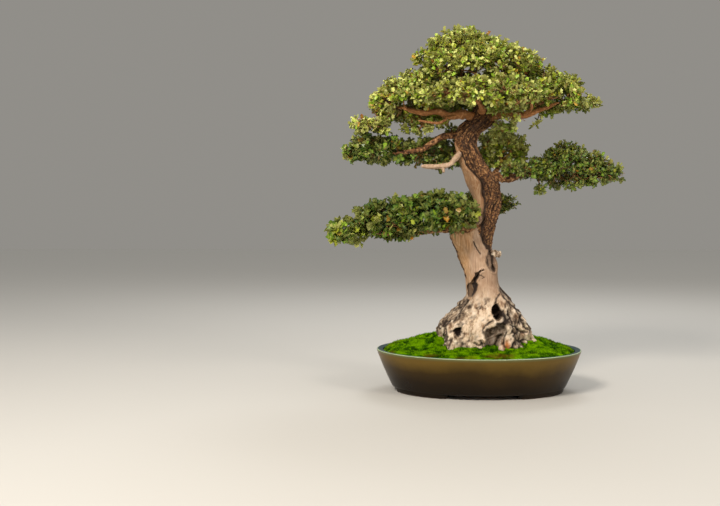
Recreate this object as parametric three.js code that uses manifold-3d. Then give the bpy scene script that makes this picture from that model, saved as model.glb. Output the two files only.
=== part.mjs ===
// Palmer oak bonsai in a glazed oval pot, about 86 cm tall.
// Millimetres, +Z up, front view along +Y. The pot stands on z = 0.
// Run with the npm packages three and manifold-3d.

import * as THREE from "three";
import { mergeVertices } from "three/addons/utils/BufferGeometryUtils.js";
import Module from "manifold-3d";

const wasm = await Module();
wasm.setup();

// Driving dimensions

const SEAT = 0.4; // air left between a piece and the one it rests in or on

const RIM_A = 240; // half the pot's length, outside of the rim
const RIM_B = 174; // half the pot's depth, outside of the rim
const POT_HEIGHT = 98;
const FOOT_HEIGHT = 9;
const FLOOR_TOP = 18; // inside floor of the pot
const WALL = 9.5; // wall measured level
const LIP = 15; // width of the rim, which overhangs the inner wall
const WALL_SLOPE = 0.407; // outward lean of the wall per millimetre of height
const RIM_BAND = 6; // height of the nearly upright band under the rim
const BAND_LEAN = 0.25;
const FOOT_WIDTH = 18;
const FOOT_SUNK = 1.5; // how far a foot reaches up into the base
const FEET = [[12, 66], [114, 168], [192, 246], [294, 348]]; // each foot's turn round the oval, degrees
const POT_SEGMENTS = 36; // the soil and moss have the same corners as the pot

const DRAIN_X = 105; // drain holes, left and right of the middle
const DRAIN_RADIUS = 17;
const SCREEN_SIDE = 46;
const SCREEN_THICKNESS = 1.2;
const SCREEN_BAR = 4;

const MOSS_EDGE = 94; // moss surface where it meets the rim
const MOSS_THICKNESS = 9;
const MOSS_BANK = 44; // height of the mound at the trunk
const MOSS_TILT = 22; // how much higher it is behind the trunk, and lower in front
const CUSHION = 2.2; // height of the moss's own cushions

const LEAF_LENGTH = 29; // about twice life, so that few leaves still cover a spray
const LEAF_WIDTH = 26;
const LEAF_THICKNESS = 2.4;
const LEAF_DROOP = 5;
const STALK_SHARE = 0.5; // a leaf's base, as a share of the core edge that it grows from
const MOST_SKEW = 0.8; // how far off square to its stalk a leaf may lie, as a cosine
const BARE_BELOW = -0.75; // the shaded underside of a spray, where its twigs are bare
const CORE_ROUGHNESS = 8;
const CLEAR_OF_OTHER_SPRAYS = 18;
const LEAST_CROSSING = 0.02; // cubic millimetres that two leaves may share by rounding

// Outline of one holly-like leaf, one side from stalk to tip:
// share of the length, share of the width, and lift of the waved edge in millimetres.
const LEAF_EDGE = [
  [0.3, 0.5, 1.8],
  [0.48, 0.29, -1],
  [0.68, 0.46, 1.8],
];

// Trunk stations from the stump in the soil to the leader in the crown:
// height, centre x, centre y, half width, half depth.
const TRUNK = [
  [58, 14, 6, 58, 44],
  [84, 14, 4, 90, 66],
  [104, 13, 0, 108, 80],
  [129, 12, 0, 107, 79],
  [160, 10, 0, 97, 71],
  [179, 14, 0, 84, 63],
  [196, 17, 0, 68, 55],
  [220, 21, 0, 52, 45],
  [246, 11, 0, 41, 38],
  [267, 8, 0, 40, 37],
  [300, 3, 0, 44, 36],
  [331, -8, 2, 41, 36],
  [354, -15, 4, 46, 36],
  [371, -14, 6, 47, 34],
  [385, -2, 8, 38, 31],
  [400, 13, 10, 27, 28],
  [420, 17, 12, 28, 25],
  [444, 22, 12, 28, 26],
  [472, 16, 10, 32, 28],
  [493, 9, 6, 36, 30],
  [517, -5, 2, 32, 30],
  [550, -22, -2, 28, 28],
  [582, -33, -4, 26, 27],
  [601, -29, -4, 30, 29],
  [624, -8, -2, 38, 31],
  [641, 6, 0, 33, 28],
  [664, 10, 2, 22, 21],
  [697, 4, 4, 14, 14],
  [730, -4, 4, 9, 9],
];
const TRUNK_SIDES = 20;
const LIMB_STEP = 38; // length of one straight stretch of a limb

// Limbs: the radius at the trunk and at the tip, and points from the trunk outwards.
const LIMBS = [
  { from: 15, to: 5, at: [[-6, -8, 376], [-50, -30, 380], [-94, -45, 376], [-186, -55, 370], [-270, -54, 374]] },
  { from: 13, to: 5, at: [[16, 4, 494], [60, 4, 500], [97, 8, 501], [144, 10, 515], [200, 10, 524], [250, 6, 523]] },
  { from: 11, to: 5, at: [[-32, -2, 592], [-60, 0, 600], [-84, 2, 597], [-134, 6, 566], [-200, 6, 556]] },
  { from: 14, to: 6, at: [[0, 0, 632], [-30, -10, 643], [-82, -18, 649], [-140, -20, 651], [-190, -14, 664]] },
  { from: 7, to: 4, at: [[-14, -10, 626], [-50, -28, 636], [-79, -36, 634], [-99, -40, 623], [-141, -42, 624]] },
  { from: 11, to: 5, at: [[6, 0, 630], [44, -8, 640], [85, -15, 644], [103, -18, 654], [149, -18, 664], [184, -12, 672]] },
  { from: 10, to: 5, at: [[4, -2, 648], [0, -44, 660], [-18, -88, 672]] },
  { from: 10, to: 5, at: [[8, 2, 650], [12, 50, 662], [0, 92, 676]] },
  { from: 10, to: 5, at: [[10, 4, 478], [38, 34, 506], [56, 64, 536], [64, 78, 560]] },
  { from: 10, to: 5, at: [[18, 8, 408], [30, 44, 422], [26, 92, 440]] },
  { from: 10, to: 5, at: [[-30, 2, 566], [-48, 46, 566], [-64, 100, 566]] },
  { from: 6, to: 4, at: [[86, -15, 644], [108, -62, 656], [104, -92, 670]] },
];

// Dead snags on the trunk, stripped of bark.
const SNAGS = [
  { from: 7, to: 4.5, at: [[-26, -8, 552], [-52, -18, 550], [-70, -25, 536], [-90, -31, 526], [-134, -44, 526]] },
  { from: 4, to: 2, at: [[-84, -29, 527], [-84, -33, 514]] },
  { from: 15, to: 12, at: [[20, 0, 322], [48, -6, 322]] },
];

// Rotted hollows: centre, half sizes, and lean about the front-to-back axis in degrees.
const HOLLOWS = [
  { at: [27, -37, 307], size: [9, 15, 25], lean: 8 },
  { at: [-10, -41, 264], size: [8, 15, 34], lean: -32 },
  { at: [35, -64, 189], size: [12, 30, 20], lean: 6 },
  { at: [-55, -76, 146], size: [12, 24, 11], lean: 20 },
  { at: [31, -88, 133], size: [26, 34, 25], lean: 32 },
];

// Foliage: each spray is a run of domed lobes on one limb.
// A lobe gives its core: centre, half length and depth, rise, fall, and how finely it is faceted.
const SPRAYS = {
  crown_top: [
    { at: [4, 0, 750], size: [138, 124], rise: 56, fall: 38, detail: 4 },
    { at: [-52, -2, 778], size: [84, 80], rise: 58, fall: 30, detail: 2 },
  ],
  crown_right: [
    { at: [170, 0, 684], size: [78, 90], rise: 44, fall: 28, detail: 3 },
    { at: [240, -4, 674], size: [36, 50], rise: 16, fall: 14, detail: 1 },
  ],
  crown_left: [
    { at: [-172, 0, 674], size: [78, 90], rise: 44, fall: 34, detail: 3 },
    { at: [-246, -5, 630], size: [42, 54], rise: 16, fall: 18, detail: 1 },
  ],
  crown_front: [
    { at: [-4, -110, 680], size: [128, 56], rise: 28, fall: 18, detail: 2 },
    { at: [46, -72, 652], size: [46, 34], rise: 22, fall: 18, detail: 1 },
  ],
  crown_back: [
    { at: [0, 112, 682], size: [124, 58], rise: 30, fall: 20, detail: 2 },
  ],
  low_left: [
    { at: [-104, -52, 406], size: [80, 66], rise: 56, fall: 28, detail: 2 },
    { at: [-212, -52, 394], size: [78, 58], rise: 48, fall: 26, detail: 2 },
    { at: [-304, -48, 376], size: [40, 42], rise: 24, fall: 20, detail: 1 },
  ],
  mid_left: [
    { at: [-256, 4, 560], size: [56, 54], rise: 22, fall: 16, detail: 2 },
    { at: [-150, 26, 568], size: [72, 48], rise: 34, fall: 26, detail: 1 },
  ],
  right: [
    { at: [222, 10, 532], size: [58, 62], rise: 42, fall: 36, detail: 2 },
    { at: [280, 4, 514], size: [40, 46], rise: 22, fall: 22, detail: 1 },
    { at: [134, 6, 510], size: [44, 34], rise: 24, fall: 22, detail: 1 },
  ],
  back_right: [
    { at: [60, 84, 572], size: [58, 46], rise: 42, fall: 38, detail: 1 },
  ],
  back_mid: [
    { at: [-76, 132, 566], size: [60, 50], rise: 28, fall: 20, detail: 1 },
  ],
  back_low: [
    { at: [22, 112, 440], size: [70, 52], rise: 24, fall: 16, detail: 1 },
  ],
};

// Finishes

const glaze = new THREE.MeshStandardMaterial({ color: 0x3d3318, roughness: 0.3, metalness: 0 });
const deadwood = new THREE.MeshStandardMaterial({ color: 0xb89a7c, roughness: 0.85, metalness: 0 });
const leafGreen = new THREE.MeshStandardMaterial({ color: 0x5d7a2a, roughness: 0.5, metalness: 0 });
const mossGreen = new THREE.MeshStandardMaterial({ color: 0x4a7a12, roughness: 0.95, metalness: 0 });
const clay = new THREE.MeshStandardMaterial({ color: 0x6b4a2f, roughness: 0.95, metalness: 0 });
const plastic = new THREE.MeshStandardMaterial({ color: 0x1c1c1c, roughness: 0.7, metalness: 0 });

// Solids

// A repeatable stream of numbers from 0 to 1.
function randomStream(seed) {
  let state = seed;
  return () => {
    state = (state + 0x6d2b79f5) | 0;
    let t = Math.imul(state ^ (state >>> 15), 1 | state);
    t = (t + Math.imul(t ^ (t >>> 7), 61 | t)) ^ t;
    return ((t ^ (t >>> 14)) >>> 0) / 4294967296;
  };
}

// A closed geometry as a solid, turned the right way round.
function solidOf(geometry) {
  const bare = new THREE.BufferGeometry().setAttribute("position", geometry.getAttribute("position"));
  if (geometry.index) bare.setIndex(geometry.index);
  const merged = mergeVertices(bare, 1e-3);
  const make = (triangles) =>
    new wasm.Manifold(
      new wasm.Mesh({
        numProp: 3,
        vertProperties: merged.attributes.position.array,
        triVerts: new Uint32Array(triangles),
      }),
    );
  const made = make(merged.index.array);
  if (made.volume() > 0) return made;
  return make(Array.from(merged.index.array).reverse());
}

// The largest body of a solid: scraps cut loose are dropped.
function largest(solid) {
  return solid.decompose().reduce((a, b) => (a.volume() > b.volume() ? a : b));
}

function geometryOf(solid) {
  const mesh = solid.getMesh();
  const geometry = new THREE.BufferGeometry();
  geometry.setAttribute("position", new THREE.BufferAttribute(mesh.vertProperties, 3));
  geometry.setIndex(new THREE.BufferAttribute(mesh.triVerts, 1));
  geometry.computeVertexNormals();
  return geometry;
}

// A closed skin over rings of equal count. A ring of one point is a pole.
function skin(rings) {
  const positions = [];
  const triangles = [];
  const starts = rings.map((ring) => {
    const start = positions.length / 3;
    ring.forEach((point) => positions.push(...point));
    return start;
  });
  for (let i = 0; i + 1 < rings.length; i++) {
    const low = rings[i].length;
    const high = rings[i + 1].length;
    const count = Math.max(low, high);
    for (let j = 0; j < count; j++) {
      const k = (j + 1) % count;
      const a = starts[i] + (low === 1 ? 0 : j);
      const b = starts[i] + (low === 1 ? 0 : k);
      const c = starts[i + 1] + (high === 1 ? 0 : j);
      const d = starts[i + 1] + (high === 1 ? 0 : k);
      if (low > 1) triangles.push(a, b, c);
      if (high > 1) triangles.push(b, d, c);
    }
  }
  const geometry = new THREE.BufferGeometry();
  geometry.setAttribute("position", new THREE.Float32BufferAttribute(positions, 3));
  geometry.setIndex(triangles);
  return geometry;
}

// A ring of an oval: half length a, half depth b, with its height from a number or a rule.
function oval(a, b, height, segments = POT_SEGMENTS) {
  return Array.from({ length: segments }, (_, i) => {
    const turn = (2 * Math.PI * i) / segments;
    const x = a * Math.cos(turn);
    const y = b * Math.sin(turn);
    return [x, y, typeof height === "function" ? height(x, y) : height];
  });
}

// A tapering round limb along a smooth line through its points, grown by an extra radius.
function limbSolid({ at, from, to }, extra = 0) {
  const sides = from > 13 ? 8 : 6;
  const curve = new THREE.CatmullRomCurve3(at.map((p) => new THREE.Vector3(...p)));
  const steps = Math.max(2, Math.round(curve.getLength() / LIMB_STEP));
  const frames = curve.computeFrenetFrames(steps, false);
  const rings = [];
  for (let i = 0; i <= steps; i++) {
    const centre = curve.getPointAt(i / steps);
    const radius = from + (to - from) * (i / steps) + extra;
    const along = frames.tangents[i].clone().multiplyScalar(radius * 0.5 + extra);
    if (i === 0) rings.push([centre.clone().sub(along).toArray()]);
    rings.push(
      Array.from({ length: sides }, (_, j) => {
        const turn = (2 * Math.PI * j) / sides;
        return centre
          .clone()
          .addScaledVector(frames.normals[i], radius * Math.cos(turn))
          .addScaledVector(frames.binormals[i], radius * Math.sin(turn))
          .toArray();
      }),
    );
    if (i === steps) rings.push([centre.clone().add(along).toArray()]);
  }
  return solidOf(skin(rings));
}

// Pot

// How far the outer wall lies inside the rim at a height.
function wallInset(z) {
  const band = Math.min(RIM_BAND, POT_HEIGHT - z);
  return BAND_LEAN * band + WALL_SLOPE * (POT_HEIGHT - z - band);
}

function footSolid(fromTurn, toTurn) {
  const outer = wallInset(FOOT_HEIGHT) + 2;
  const steps = 6;
  const section = [
    [outer + 2, 0],
    [outer, FOOT_HEIGHT + FOOT_SUNK],
    [outer + FOOT_WIDTH + 2, FOOT_HEIGHT + FOOT_SUNK],
    [outer + FOOT_WIDTH, 0],
  ];
  const rings = [];
  for (let i = 0; i <= steps; i++) {
    const turn = THREE.MathUtils.degToRad(fromTurn + ((toTurn - fromTurn) * i) / steps);
    const ring = section.map(([inset, z]) => [
      (RIM_A - inset) * Math.cos(turn),
      (RIM_B - inset) * Math.sin(turn),
      z,
    ]);
    const middle = [0, 1, 2].map((k) => ring.reduce((sum, p) => sum + p[k], 0) / ring.length);
    if (i === 0) rings.push([middle]);
    rings.push(ring);
    if (i === steps) rings.push([middle]);
  }
  return solidOf(skin(rings));
}

function drainCut(x) {
  const cut = new THREE.CylinderGeometry(DRAIN_RADIUS, DRAIN_RADIUS, 3 * FLOOR_TOP, 16);
  cut.rotateX(Math.PI / 2);
  cut.translate(x, 0, FLOOR_TOP);
  return solidOf(cut);
}

function potSolid() {
  const ring = (inset, z) => oval(RIM_A - inset, RIM_B - inset, z);
  const base = wallInset(FOOT_HEIGHT) + 6;
  const inner = (z) => wallInset(z) + WALL;
  const body = skin([
    [[0, 0, FOOT_HEIGHT]],
    ring(base, FOOT_HEIGHT),
    ring(wallInset(12) + 1.5, 12.5),
    ring(wallInset(22), 22),
    ring(wallInset(POT_HEIGHT - RIM_BAND), POT_HEIGHT - RIM_BAND),
    ring(0.2, POT_HEIGHT - 2),
    ring(1.8, POT_HEIGHT),
    ring(LIP, POT_HEIGHT),
    ring(LIP, POT_HEIGHT - 8),
    ring(inner(86), 86),
    ring(inner(26), 26),
    ring(inner(20) + 4, FLOOR_TOP),
    [[0, 0, FLOOR_TOP]],
  ]);
  const feet = FEET.map(([from, to]) => footSolid(from, to));
  const whole = wasm.Manifold.union([solidOf(body), ...feet]);
  return whole.subtract(drainCut(-DRAIN_X)).subtract(drainCut(DRAIN_X));
}

// A square of plastic mesh that keeps the soil off a drain hole.
function screenSolid(x) {
  const pitch = (SCREEN_SIDE - SCREEN_BAR) / 2;
  const sheet = new THREE.BoxGeometry(SCREEN_SIDE, SCREEN_SIDE, SCREEN_THICKNESS);
  let screen = solidOf(sheet.translate(x, 0, FLOOR_TOP + SEAT + SCREEN_THICKNESS / 2));
  for (const [across, along] of [[-0.5, -0.5], [0.5, -0.5], [-0.5, 0.5], [0.5, 0.5]]) {
    const hole = new THREE.BoxGeometry(pitch - SCREEN_BAR, pitch - SCREEN_BAR, 4 * SCREEN_THICKNESS);
    screen = screen.subtract(solidOf(hole.translate(x + across * pitch, along * pitch, FLOOR_TOP + SEAT)));
  }
  return screen;
}

// Soil and moss

const MOSS_A = RIM_A - LIP - SEAT;
const MOSS_B = RIM_B - LIP - SEAT;
const SOIL_RINGS = [1, 0.84, 0.62, 0.42];
const MOSS_RINGS = [0.42, 0.56, 0.7, 0.84, 0.93, 1];

// Mounded surface: low at the rim and in front, banked up behind the trunk.
function mossTop(x, y) {
  const out = Math.min(1, Math.hypot(x / MOSS_A, y / MOSS_B));
  const bank = MOSS_BANK + MOSS_TILT * Math.tanh((y + 20) / 40);
  const cushions = CUSHION * Math.sin(x / 13 + 1.7 * Math.sin(y / 21)) * Math.sin(y / 15 + x / 37);
  return MOSS_EDGE + bank * (1 - out) ** 0.8 + cushions * Math.min(1, 4 * (1 - out));
}

const soilTop = (x, y) => mossTop(x, y) - MOSS_THICKNESS - SEAT;

function domeRings(height, shares) {
  return shares.map((s) => oval(MOSS_A * s, MOSS_B * s, height));
}

function soilSolid() {
  const inner = (z) => wallInset(z) + WALL + SEAT;
  const ring = (z, more = 0) => oval(RIM_A - inner(z) - more, RIM_B - inner(z) - more, z);
  const floor = FLOOR_TOP + SEAT;
  const top = domeRings(soilTop, SOIL_RINGS);
  return solidOf(
    skin([
      [[0, 0, floor]],
      oval(RIM_A - inner(20) - 5, RIM_B - inner(20) - 5, floor),
      ring(27, 0.5),
      ring(83, 0.6),
      ...top,
      [[0, 0, soilTop(0, 0)]],
    ]),
  );
}

function mossSolid() {
  const under = (x, y) => soilTop(x, y) + SEAT;
  const top = domeRings(mossTop, MOSS_RINGS);
  const bottom = domeRings(under, SOIL_RINGS);
  return solidOf(skin([[[0, 0, mossTop(0, 0)]], ...top, ...bottom, [[0, 0, under(0, 0)]]]));
}

// Trunk

// Radius multiplier: root ridges near the ground that fade into twisting grain.
function flute(turn, z) {
  const root = THREE.MathUtils.clamp((215 - z) / 90, 0, 1) * THREE.MathUtils.clamp((z - 50) / 50, 0, 1);
  const toes = 0.1 * Math.sin(5 * turn + 0.9) + 0.06 * Math.sin(9 * turn + z / 30);
  const grain = 0.07 * Math.sin(2 * turn + z / 55) + 0.04 * Math.sin(5 * turn - z / 40);
  return 1 + root * toes + (1 - root) * grain;
}

function trunkLoft(extra) {
  const rings = TRUNK.map(([z, x, y, halfWidth, halfDepth]) =>
    Array.from({ length: TRUNK_SIDES }, (_, i) => {
      const turn = (2 * Math.PI * i) / TRUNK_SIDES;
      const swell = flute(turn, z);
      return [
        x + (halfWidth * swell + extra) * Math.cos(turn),
        y + (halfDepth * swell + extra) * Math.sin(turn),
        z,
      ];
    }),
  );
  const [first, last] = [TRUNK[0], TRUNK[TRUNK.length - 1]];
  return solidOf(
    skin([[[first[1], first[2], first[0] - extra]], ...rings, [[last[1], last[2], last[0] + 4 + extra]]]),
  );
}

function hollowSolid({ at, size, lean }) {
  const ball = new THREE.IcosahedronGeometry(1, 1);
  ball.scale(...size);
  ball.rotateY(THREE.MathUtils.degToRad(lean));
  ball.translate(...at);
  return solidOf(ball);
}

// Trunk, limbs and snags as one body, grown by an extra radius.
function woodSolid(extra) {
  return wasm.Manifold.union([
    trunkLoft(extra),
    ...LIMBS.map((limb) => limbSolid(limb, extra)),
    ...SNAGS.map((snag) => limbSolid(snag, extra)),
  ]);
}

// Foliage

// A point of a lobe's core for a direction u, with low lumps.
function onLobe({ at, size, rise, fall }, u, extra = 0) {
  const lump = 1 + 0.07 * Math.sin(5 * u.x + at[0]) * Math.cos(4 * u.y + at[1]) + 0.04 * Math.sin(7 * u.z);
  return new THREE.Vector3(
    at[0] + (size[0] * lump + extra) * u.x,
    at[1] + (size[1] * lump + extra) * u.y,
    at[2] + ((u.z > 0 ? rise : fall) * lump + extra) * u.z,
  );
}

// True if a point lies in a lobe grown by a reach.
function nearLobe(point, { at, size, rise, fall }, reach) {
  const dx = (point.x - at[0]) / (size[0] + reach);
  const dy = (point.y - at[1]) / (size[1] + reach);
  const dz = (point.z - at[2]) / ((point.z > at[2] ? rise : fall) + reach);
  return dx * dx + dy * dy + dz * dz < 1;
}

// The lobe's core, a dense mass of shoots: its corners and its faces.
function coreMesh(lobe, random) {
  const ball = new THREE.IcosahedronGeometry(1, lobe.detail);
  ball.deleteAttribute("normal");
  ball.deleteAttribute("uv");
  const merged = mergeVertices(ball, 1e-3);
  const flatness = (lobe.size[0] / (0.5 * (lobe.rise + lobe.fall))) ** 0.4;
  const corners = [];
  for (let i = 0; i < merged.attributes.position.count; i++) {
    const u = new THREE.Vector3().fromBufferAttribute(merged.attributes.position, i);
    u.z *= flatness;
    corners.push(onLobe(lobe, u.normalize(), CORE_ROUGHNESS * (random() - 0.6)));
  }
  const index = Array.from(merged.index.array);
  const faces = Array.from({ length: index.length / 3 }, (_, i) => index.slice(3 * i, 3 * i + 3));
  return { corners, faces };
}

// Where a leaf on the edge from a to b lies: outwards, off the lobe's surface, and a little astray.
// Its upper face looks outwards and to the sky, which may swap the two ends of the edge.
function leafFrame(lobe, a, b, random) {
  const root = a.clone().lerp(b, 0.5);
  const offset = root.clone().sub(new THREE.Vector3(...lobe.at));
  const height = offset.z > 0 ? lobe.rise : lobe.fall;
  const out = new THREE.Vector3(offset.x / lobe.size[0], offset.y / lobe.size[1], 0);
  const normal = new THREE.Vector3(out.x / lobe.size[0], out.y / lobe.size[1], offset.z / height ** 2);
  const astray = new THREE.Vector3(random() - 0.5, random() - 0.5, random() - 0.5);
  const along = out
    .clone()
    .multiplyScalar(0.8)
    .addScaledVector(normal.normalize(), 0.85)
    .addScaledVector(astray, 0.6)
    .add(new THREE.Vector3(0, 0, 0.12))
    .normalize();
  const across = b.clone().sub(a);
  const skew = Math.abs(across.dot(along)) / across.length();
  across.addScaledVector(along, -across.dot(along)).normalize();
  const up = new THREE.Vector3().crossVectors(along, across);
  const swapped = up.dot(normal) + 0.6 * up.z < 0;
  if (swapped) {
    across.negate();
    up.negate();
  }
  return { root, normal, along, across, up, skew, swapped };
}

// A blade's corners from its stalk up one side, over the tip and down the other, then its two middles.
function leafPoints({ root, along, across, up }, scale) {
  const place = (s, w, lift) =>
    root
      .clone()
      .addScaledVector(along, s * LEAF_LENGTH * scale)
      .addScaledVector(across, w * LEAF_WIDTH * scale)
      .addScaledVector(up, lift - LEAF_DROOP * s * s);
  const side = (sign) => LEAF_EDGE.map(([s, w, lift]) => place(s, sign * w, lift));
  const middle = (sign) => place(0.45, 0, (sign * LEAF_THICKNESS) / 2);
  return [...side(-1), place(1, 0, 0), ...side(1).reverse(), middle(1), middle(-1)];
}

// The leaf's upper and lower face between corners a and b, as fans about the middles.
// The lower one takes in corner c of the core too, which gives the stalk some body.
function leafFaces(a, b, c, first) {
  const margin = Array.from({ length: 2 * LEAF_EDGE.length + 1 }, (_, i) => first + i);
  const fan = (middle, loop) => loop.flatMap((from, i) => [middle, from, loop[(i + 1) % loop.length]]);
  const upper = first + margin.length;
  return [...fan(upper, [b, a, ...margin]), ...fan(upper + 1, [a, c, b, ...margin.reverse()])];
}

function indexedSolid(corners, faces) {
  const geometry = new THREE.BufferGeometry().setFromPoints(corners);
  geometry.setIndex(faces);
  return solidOf(geometry);
}

// One lobe with its leaves. A leaf grows out of an edge of the core, in place of the face below it.
function leafyLobe(lobe, spray, random) {
  const others = Object.values(SPRAYS).filter((lobes) => lobes !== spray).flat();
  const siblings = spray.filter((other) => other !== lobe);
  const { corners, faces } = coreMesh(lobe, random);
  const opposite = new Map();
  const edges = [];
  faces.forEach(([a, b, c]) =>
    [[a, b, c], [b, c, a], [c, a, b]].forEach(([from, to, third]) => {
      opposite.set(`${from} ${to}`, third);
      const { skew, normal } = leafFrame(lobe, corners[from], corners[to], () => 0.5);
      const leafy = skew < MOST_SKEW && normal.z > BARE_BELOW;
      if (from < to && leafy) edges.push({ ends: [from, to], turn: skew + random() });
    }),
  );
  edges.sort((p, q) => p.turn - q.turn);
  const taken = new Set();
  const gone = new Set();
  const blades = [];
  const leafTriangles = [];
  for (const { ends } of edges) {
    if (ends.some((end) => taken.has(end))) continue;
    const frame = leafFrame(lobe, ...ends.map((end) => corners[end]), random);
    const [a, b] = frame.swapped ? [ends[1], ends[0]] : ends;
    const c = opposite.get(`${b} ${a}`);
    const leaf = leafPoints(frame, 0.85 + 0.3 * random());
    const stalk = [0.5 - STALK_SHARE / 2, 0.5 + STALK_SHARE / 2].map((share) =>
      corners[a].clone().lerp(corners[b], share),
    );
    if (siblings.some((other) => nearLobe(frame.root, other, 6))) continue;
    if (leaf.some((point) => others.some((other) => nearLobe(point, other, CLEAR_OF_OTHER_SPRAYS)))) continue;
    const blade = indexedSolid([...stalk, corners[c], ...leaf], [...leafFaces(0, 1, 2, 3), 0, 1, 2]);
    if (blades.some((other) => other.intersect(blade).volume() > LEAST_CROSSING)) continue;
    blades.push(blade);
    taken.add(a).add(b);
    gone.add([a, b, c].sort().join());
    [corners[a], corners[b]] = stalk;
    leafTriangles.push(...leafFaces(a, b, c, corners.length));
    corners.push(...leaf);
  }
  const bare = faces.filter((face) => !gone.has(face.slice().sort().join()));
  return indexedSolid(corners, [...bare.flat(), ...leafTriangles]);
}

function spraySolid(spray, wood, seed) {
  const random = randomStream(seed);
  const lobes = spray.map((lobe) => leafyLobe(lobe, spray, random));
  return largest(wasm.Manifold.union(lobes).subtract(wood));
}

// Assembly

const tree = new THREE.Group();

function addPiece(name, geometry, material) {
  const mesh = new THREE.Mesh(geometry, material);
  mesh.name = name;
  tree.add(mesh);
}

const grownWood = woodSolid(SEAT);
const hollows = HOLLOWS.map(hollowSolid);
const wood = largest(hollows.reduce((solid, hollow) => solid.subtract(hollow), woodSolid(0)));

addPiece("pot", geometryOf(potSolid()), glaze);
addPiece("drain_screen_left", geometryOf(screenSolid(-DRAIN_X)), plastic);
addPiece("drain_screen_right", geometryOf(screenSolid(DRAIN_X)), plastic);

const screenRoom = [-DRAIN_X, DRAIN_X].map((x) => {
  const side = SCREEN_SIDE + 2 * SEAT;
  const room = new THREE.BoxGeometry(side, side, 2 * (SCREEN_THICKNESS + 2 * SEAT));
  return solidOf(room.translate(x, 0, FLOOR_TOP + SEAT));
});
const soil = screenRoom.reduce((solid, room) => solid.subtract(room), soilSolid());
addPiece("soil", geometryOf(largest(soil.subtract(grownWood))), clay);
addPiece("moss", geometryOf(largest(mossSolid().subtract(grownWood))), mossGreen);
addPiece("trunk", geometryOf(wood), deadwood);

Object.entries(SPRAYS).forEach(([name, spray], i) => {
  addPiece(`foliage_${name}`, geometryOf(spraySolid(spray, grownWood, 101 + i)), leafGreen);
});

// The origin is under the middle of the whole outline, on the surface that the pot stands on.
const outline = new THREE.Box3().setFromObject(tree, true);
const middle = outline.getCenter(new THREE.Vector3());
tree.position.set(-Math.round(middle.x), -Math.round(middle.y), 0);

const bonsai = new THREE.Group();
bonsai.add(tree);

export default bonsai;
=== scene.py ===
import math

import bpy
import numpy as np
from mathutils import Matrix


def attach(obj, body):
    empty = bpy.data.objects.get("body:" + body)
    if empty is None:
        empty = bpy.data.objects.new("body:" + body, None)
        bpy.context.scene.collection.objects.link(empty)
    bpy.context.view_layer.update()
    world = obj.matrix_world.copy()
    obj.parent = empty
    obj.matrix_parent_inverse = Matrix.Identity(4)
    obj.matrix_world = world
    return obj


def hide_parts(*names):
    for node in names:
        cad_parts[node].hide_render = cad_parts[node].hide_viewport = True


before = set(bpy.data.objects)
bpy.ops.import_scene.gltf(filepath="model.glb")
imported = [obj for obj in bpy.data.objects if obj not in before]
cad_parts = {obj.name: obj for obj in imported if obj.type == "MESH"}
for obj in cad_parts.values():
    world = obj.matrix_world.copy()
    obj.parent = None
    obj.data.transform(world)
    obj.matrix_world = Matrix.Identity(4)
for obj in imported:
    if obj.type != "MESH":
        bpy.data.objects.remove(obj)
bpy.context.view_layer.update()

# Palmer oak bonsai in a glazed oval pot, about 86 cm tall.
# Shapes are worked out in millimetres from the middle of the pot's underside: +X to the viewer's
# right, +Y away from the viewer, +Z up. add_piece turns them to metres in the frame.


# Camera
# The viewpoint is two metres in front of the pot and a step to its left, level with the lowest
# branch. The lens is 45 mm on a 36 mm frame and looks slightly down.

eye = bpy.data.objects.new("front_view", bpy.data.cameras.new("front_view"))
eye.data.lens = 45
eye.data.sensor_width = 36
eye.location = (-0.2033, -2.137, 0.411)
eye.rotation_euler = (math.radians(87.6458), 0, math.radians(1.7169))
bpy.context.scene.collection.objects.link(eye)
bpy.context.scene.camera = eye


# Studio
# A pale matte floor under soft lamps: one high on the left, a weaker one on the right, one behind
# and above that edges the foliage with light, and an even glow from the ceiling and the room.


def linear(colour):
    """Linear colour from an sRGB hex value: c / 12.92 when dark, else ((c + 0.055) / 1.055) ^ 2.4."""
    srgb = np.array([int(colour[i : i + 2], 16) for i in (1, 3, 5)]) / 255
    return (*np.where(srgb <= 0.04045, srgb / 12.92, ((srgb + 0.055) / 1.055) ** 2.4), 1.0)


def feed(tree, node, inputs):
    """Gives a node its inputs: a value, an output to link, or a node whose first output is linked."""
    for name, value in dict(inputs).items():
        if isinstance(value, bpy.types.Node):
            value = value.outputs[0]
        if isinstance(value, bpy.types.NodeSocket):
            tree.links.new(value, node.inputs[name])
        else:
            node.inputs[name].default_value = value


def put(tree, kind, inputs=(), stops=(), **settings):
    """Adds a shader node with its settings and inputs. Stops, as places and colours, fill a ramp."""
    made = tree.nodes.new("ShaderNode" + kind)
    for name, value in settings.items():
        setattr(made, name, value)
    feed(tree, made, inputs)
    for i, (place, colour) in enumerate(stops):
        ramp = made.color_ramp.elements
        stop = ramp[i] if i < len(ramp) else ramp.new(place)
        stop.position = place
        stop.color = linear(colour)
    return made


def finish_named(name):
    """A new material: its node tree, its shader, and the place on the object that is being shaded."""
    made = bpy.data.materials.new(name)
    made.use_nodes = True
    tree = made.node_tree
    return made, tree, tree.nodes["Principled BSDF"], put(tree, "TexCoord").outputs["Object"]


FLOOR_REACH = 9  # metres

corners = np.array([(-1, -1, 0), (1, -1, 0), (1, 1, 0), (-1, 1, 0)]) * FLOOR_REACH
floor_mesh = bpy.data.meshes.new("floor")
floor_mesh.from_pydata(corners, [], [(0, 1, 2, 3)])
floor = bpy.data.objects.new("floor", floor_mesh)
bpy.context.scene.collection.objects.link(floor)

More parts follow.
